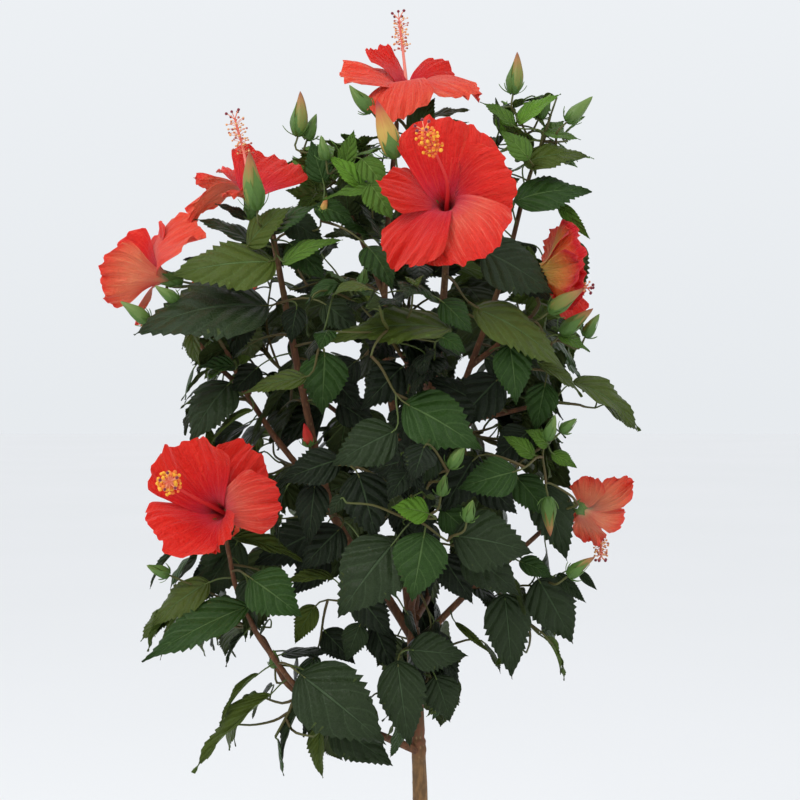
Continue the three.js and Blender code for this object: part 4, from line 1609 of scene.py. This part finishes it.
def fill(angle, open_share, tries):
    """Hangs leaves where light comes through the crown, for an eye that goes round the stem by an angle."""
    nearest = nearest_in(wood())
    dark = np.zeros((len(COLUMNS), len(LEVELS)), bool)
    for leaf in leaves:
        points = turned(leaf_samples(leaf), -angle)
        dark[cells_of(points[points[:, 1] < BACK])] = True
    dark |= rng.random(dark.shape) < open_share
    eye = turned(EYE, angle)
    for cell in rng.permutation(dark.size):
        i, j = divmod(int(cell), len(LEVELS))
        if dark[i, j] or len(leaves) >= MOST_LEAVES:
            continue
        way = unit(turned(np.array([COLUMNS[i], 0.0, LEVELS[j]]), angle) - eye)
        inside = stretches(eye, way)
        for attempt in range(tries if inside else 0):
            near, far = inside[int(rng.integers(len(inside)))]
            middle = eye + way * (near + (far - near) * rng.uniform(0.1, 0.9))
            if turned(middle, -angle)[1] > BACK:
                continue
            leaf = leaf_across(middle, -way, 1 - 0.5 * attempt / tries)
            if leaf is not None and nearest.find(leaf["base"])[2] < LONGEST_STALK and fits(leaf, 6.0):
                take(leaf)
                loose.append(leaf)
                dark[cells_of(turned(leaf_samples(leaf), -angle))] = True
                break


mark_flowers()
place_leaves()
for name in MASSES:
    grow(name)
fill(0.0, open_share=0.0, tries=24)
for angle in np.radians([180, 90, 270, 45, 225, 135, 315]):
    fill(angle, open_share=0.1, tries=14)
for row in BLOOMS:
    bloom(*row)
for x, z, y, facing, length, kind in BUDS:
    bud(shown(x, z, y), facing, length, kind)
stalk_leaves()
trim_shoots()


# ---- The pieces ----
THICK_TWIG = 1.3
ZONES = {"foliage_crown": (960, math.inf), "foliage_heart": (780, 960), "foliage_skirt": (0, 780)}


def zone_of(z):
    """The piece that foliage at a height belongs to."""
    return next(name for name, (low, high) in ZONES.items() if low < z <= high)


def build_leaves():
    """The leaves, in pieces by height and one for the young ones."""
    finishes = [leaf_finish(shade) for shade in SHADES]
    batches = {name: [] for name in (*ZONES, "foliage_young")}
    for leaf in leaves:
        young = leaf["shade"] in ("fresh", "young")
        batches["foliage_young" if young else zone_of(leaf["base"][2])].append(leaf)
    for name, batch in batches.items():
        pile = Pile()
        slots = [SHADES.index(leaf["shade"]) for leaf in batch]
        unders = [SHADES.index(LEAF_LOOKS[leaf["shade"]][3]) for leaf in batch]
        add_sheets(pile, leaf_middles(batch), LEAF_THICKNESS, slots, unders, leaf_blade())
        pieces = pile.build(name, finishes)
        nodes = [mass for mass in MASSES if zone_of((boxes[mass][0][2] + boxes[mass][1][2]) / 2) == name]
        if nodes:
            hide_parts(*nodes)


def build_shoots():
    """The shoots and twigs, slightly knotted, and the leaf stalks."""
    twigs = Pile()
    for path, radii in shoots:
        sides = 8 if radii[0] > THICK_TWIG else 6
        knots = 1 + 0.12 * np.abs(np.sin(np.arange(len(path)) * 1.7)) ** 6
        add_tube(twigs, path, radii * knots, sides)
    young_bark = plain_finish("shoot_bark", (84, 52, 32), (80, 92, 42), 0.55, 30.0, IOR=1.4)
    twigs.build("twigs", [young_bark])
    stalks = Pile()
    for path in petioles:
        add_tube(stalks, path, np.linspace(0.95, 0.65, len(path)), 6)
    green = plain_finish("leaf_stalk", (66, 70, 32), (84, 106, 44), 0.5, 20.0, IOR=1.4)
    stalks.build("leaf_stalks", [green])


def build_flowers():
    """The pieces of all the flowers and buds."""
    petals.build("petals", petal_finishes())
    shafts = [
        plain_finish("column_red", (190, 16, 44), (232, 74, 60), 0.4, 12.0, IOR=1.38),
        plain_finish("column_pink", (238, 176, 160), (236, 96, 76), 0.4, 12.0, IOR=1.38),
    ]
    columns.build("staminal_columns", shafts)
    thread = plain_finish("filament", (232, 90, 70), (244, 170, 130), 0.45, 9.0)
    filaments.build("filaments", [thread])
    pollen = [
        plain_finish("anther_yellow", (240, 150, 30), (252, 196, 60), 0.7, 6.0),
        plain_finish("anther_orange", (226, 90, 40), (244, 140, 50), 0.7, 6.0),
        plain_finish("anther_pale", (226, 150, 96), (240, 190, 130), 0.7, 6.0),
        plain_finish("anther_spent", (150, 70, 70), (200, 110, 90), 0.7, 6.0),
    ]
    anthers.build("anthers", pollen)
    velvet = plain_finish("stigma_velvet", (96, 10, 34), (140, 20, 44), 0.8, 8.0, Sheen_Weight=0.4)
    stigmas.build("stigmas", [velvet])
    calyx = plain_finish("calyx", (58, 92, 36), (96, 128, 56), 0.5, 14.0, IOR=1.4)
    calyces.build("calyces", [calyx])
    tips = [
        plain_finish("bud_green", (66, 104, 38), (112, 134, 60), 0.5, 10.0),
        bud_finish(
            "bud_turning",
            (0.0, 90, 122, 48), (0.55, 128, 128, 62), (0.8, 156, 118, 66), (1.0, 142, 78, 56),
        ),
        bud_finish(
            "bud_opening",
            (0.0, 166, 148, 70), (0.5, 192, 156, 78), (0.78, 190, 120, 66), (0.95, 166, 48, 58),
        ),
        bud_finish("bud_red", (0.0, 200, 90, 60), (0.5, 212, 50, 40), (0.8, 216, 40, 36), (1.0, 200, 30, 40)),
    ]
    bud_tips.build("buds", tips)


build_leaves()
build_shoots()
build_flowers()


# ---- The studio ----
def floor():
    """A plain pale floor that reaches far beyond the view."""
    half = 40.0
    mesh = bpy.data.meshes.new("floor")
    corners = [(-half, -half, 0), (half, -half, 0), (half, half, 0), (-half, half, 0)]
    mesh.from_pydata(corners, [], [(0, 1, 2, 3)])
    piece = bpy.data.objects.new("floor", mesh)
    bpy.context.scene.collection.objects.link(piece)
    f = Finish("floor_paper", Roughness=0.9)
    f.link("Base Color", f.mix(f.noise(f.place(), 0.4), linear(234, 235, 235), linear(239, 239, 240)))
    mesh.materials.append(f.material)


def sky():
    """Soft light from all around, a little brighter from above."""
    world = bpy.data.worlds.new("studio")
    bpy.context.scene.world = world
    world.use_nodes = True
    nodes, links = world.node_tree.nodes, world.node_tree.links
    parts = nodes.new("ShaderNodeSeparateXYZ")
    ramped = nodes.new("ShaderNodeValToRGB")
    links.new(nodes.new("ShaderNodeTexCoord").outputs["Generated"], parts.inputs[0])
    links.new(parts.outputs[2], ramped.inputs[0])
    ramped.color_ramp.elements[0].color = (0.80, 0.83, 0.86, 1)
    ramped.color_ramp.elements[1].color = (1.0, 1.02, 1.05, 1)
    links.new(ramped.outputs[0], nodes["Background"].inputs[0])


def lamp(name, place, size, energy):
    """A square lamp that faces the crown."""
    light = bpy.data.lights.new(name, "AREA")
    light.size = size
    light.energy = energy
    piece = bpy.data.objects.new(name, light)
    piece.location = place
    aim = Vector((0, 0, 0.8)) - Vector(place)
    piece.rotation_euler = aim.to_track_quat("-Z", "Y").to_euler()
    bpy.context.scene.collection.objects.link(piece)


def camera():
    """The camera at the eye, level."""
    lens = bpy.data.cameras.new("camera")
    lens.lens = 76.5
    lens.sensor_width = 36.0
    piece = bpy.data.objects.new("camera", lens)
    piece.location = EYE * MM
    piece.rotation_euler = (math.radians(90), 0, 0)
    bpy.context.scene.collection.objects.link(piece)
    bpy.context.scene.camera = piece


floor()
sky()
lamp("key", (-1.6, -2.2, 3.2), 2.0, 56.0)
camera()
bpy.context.scene.view_settings.view_transform = "Standard"
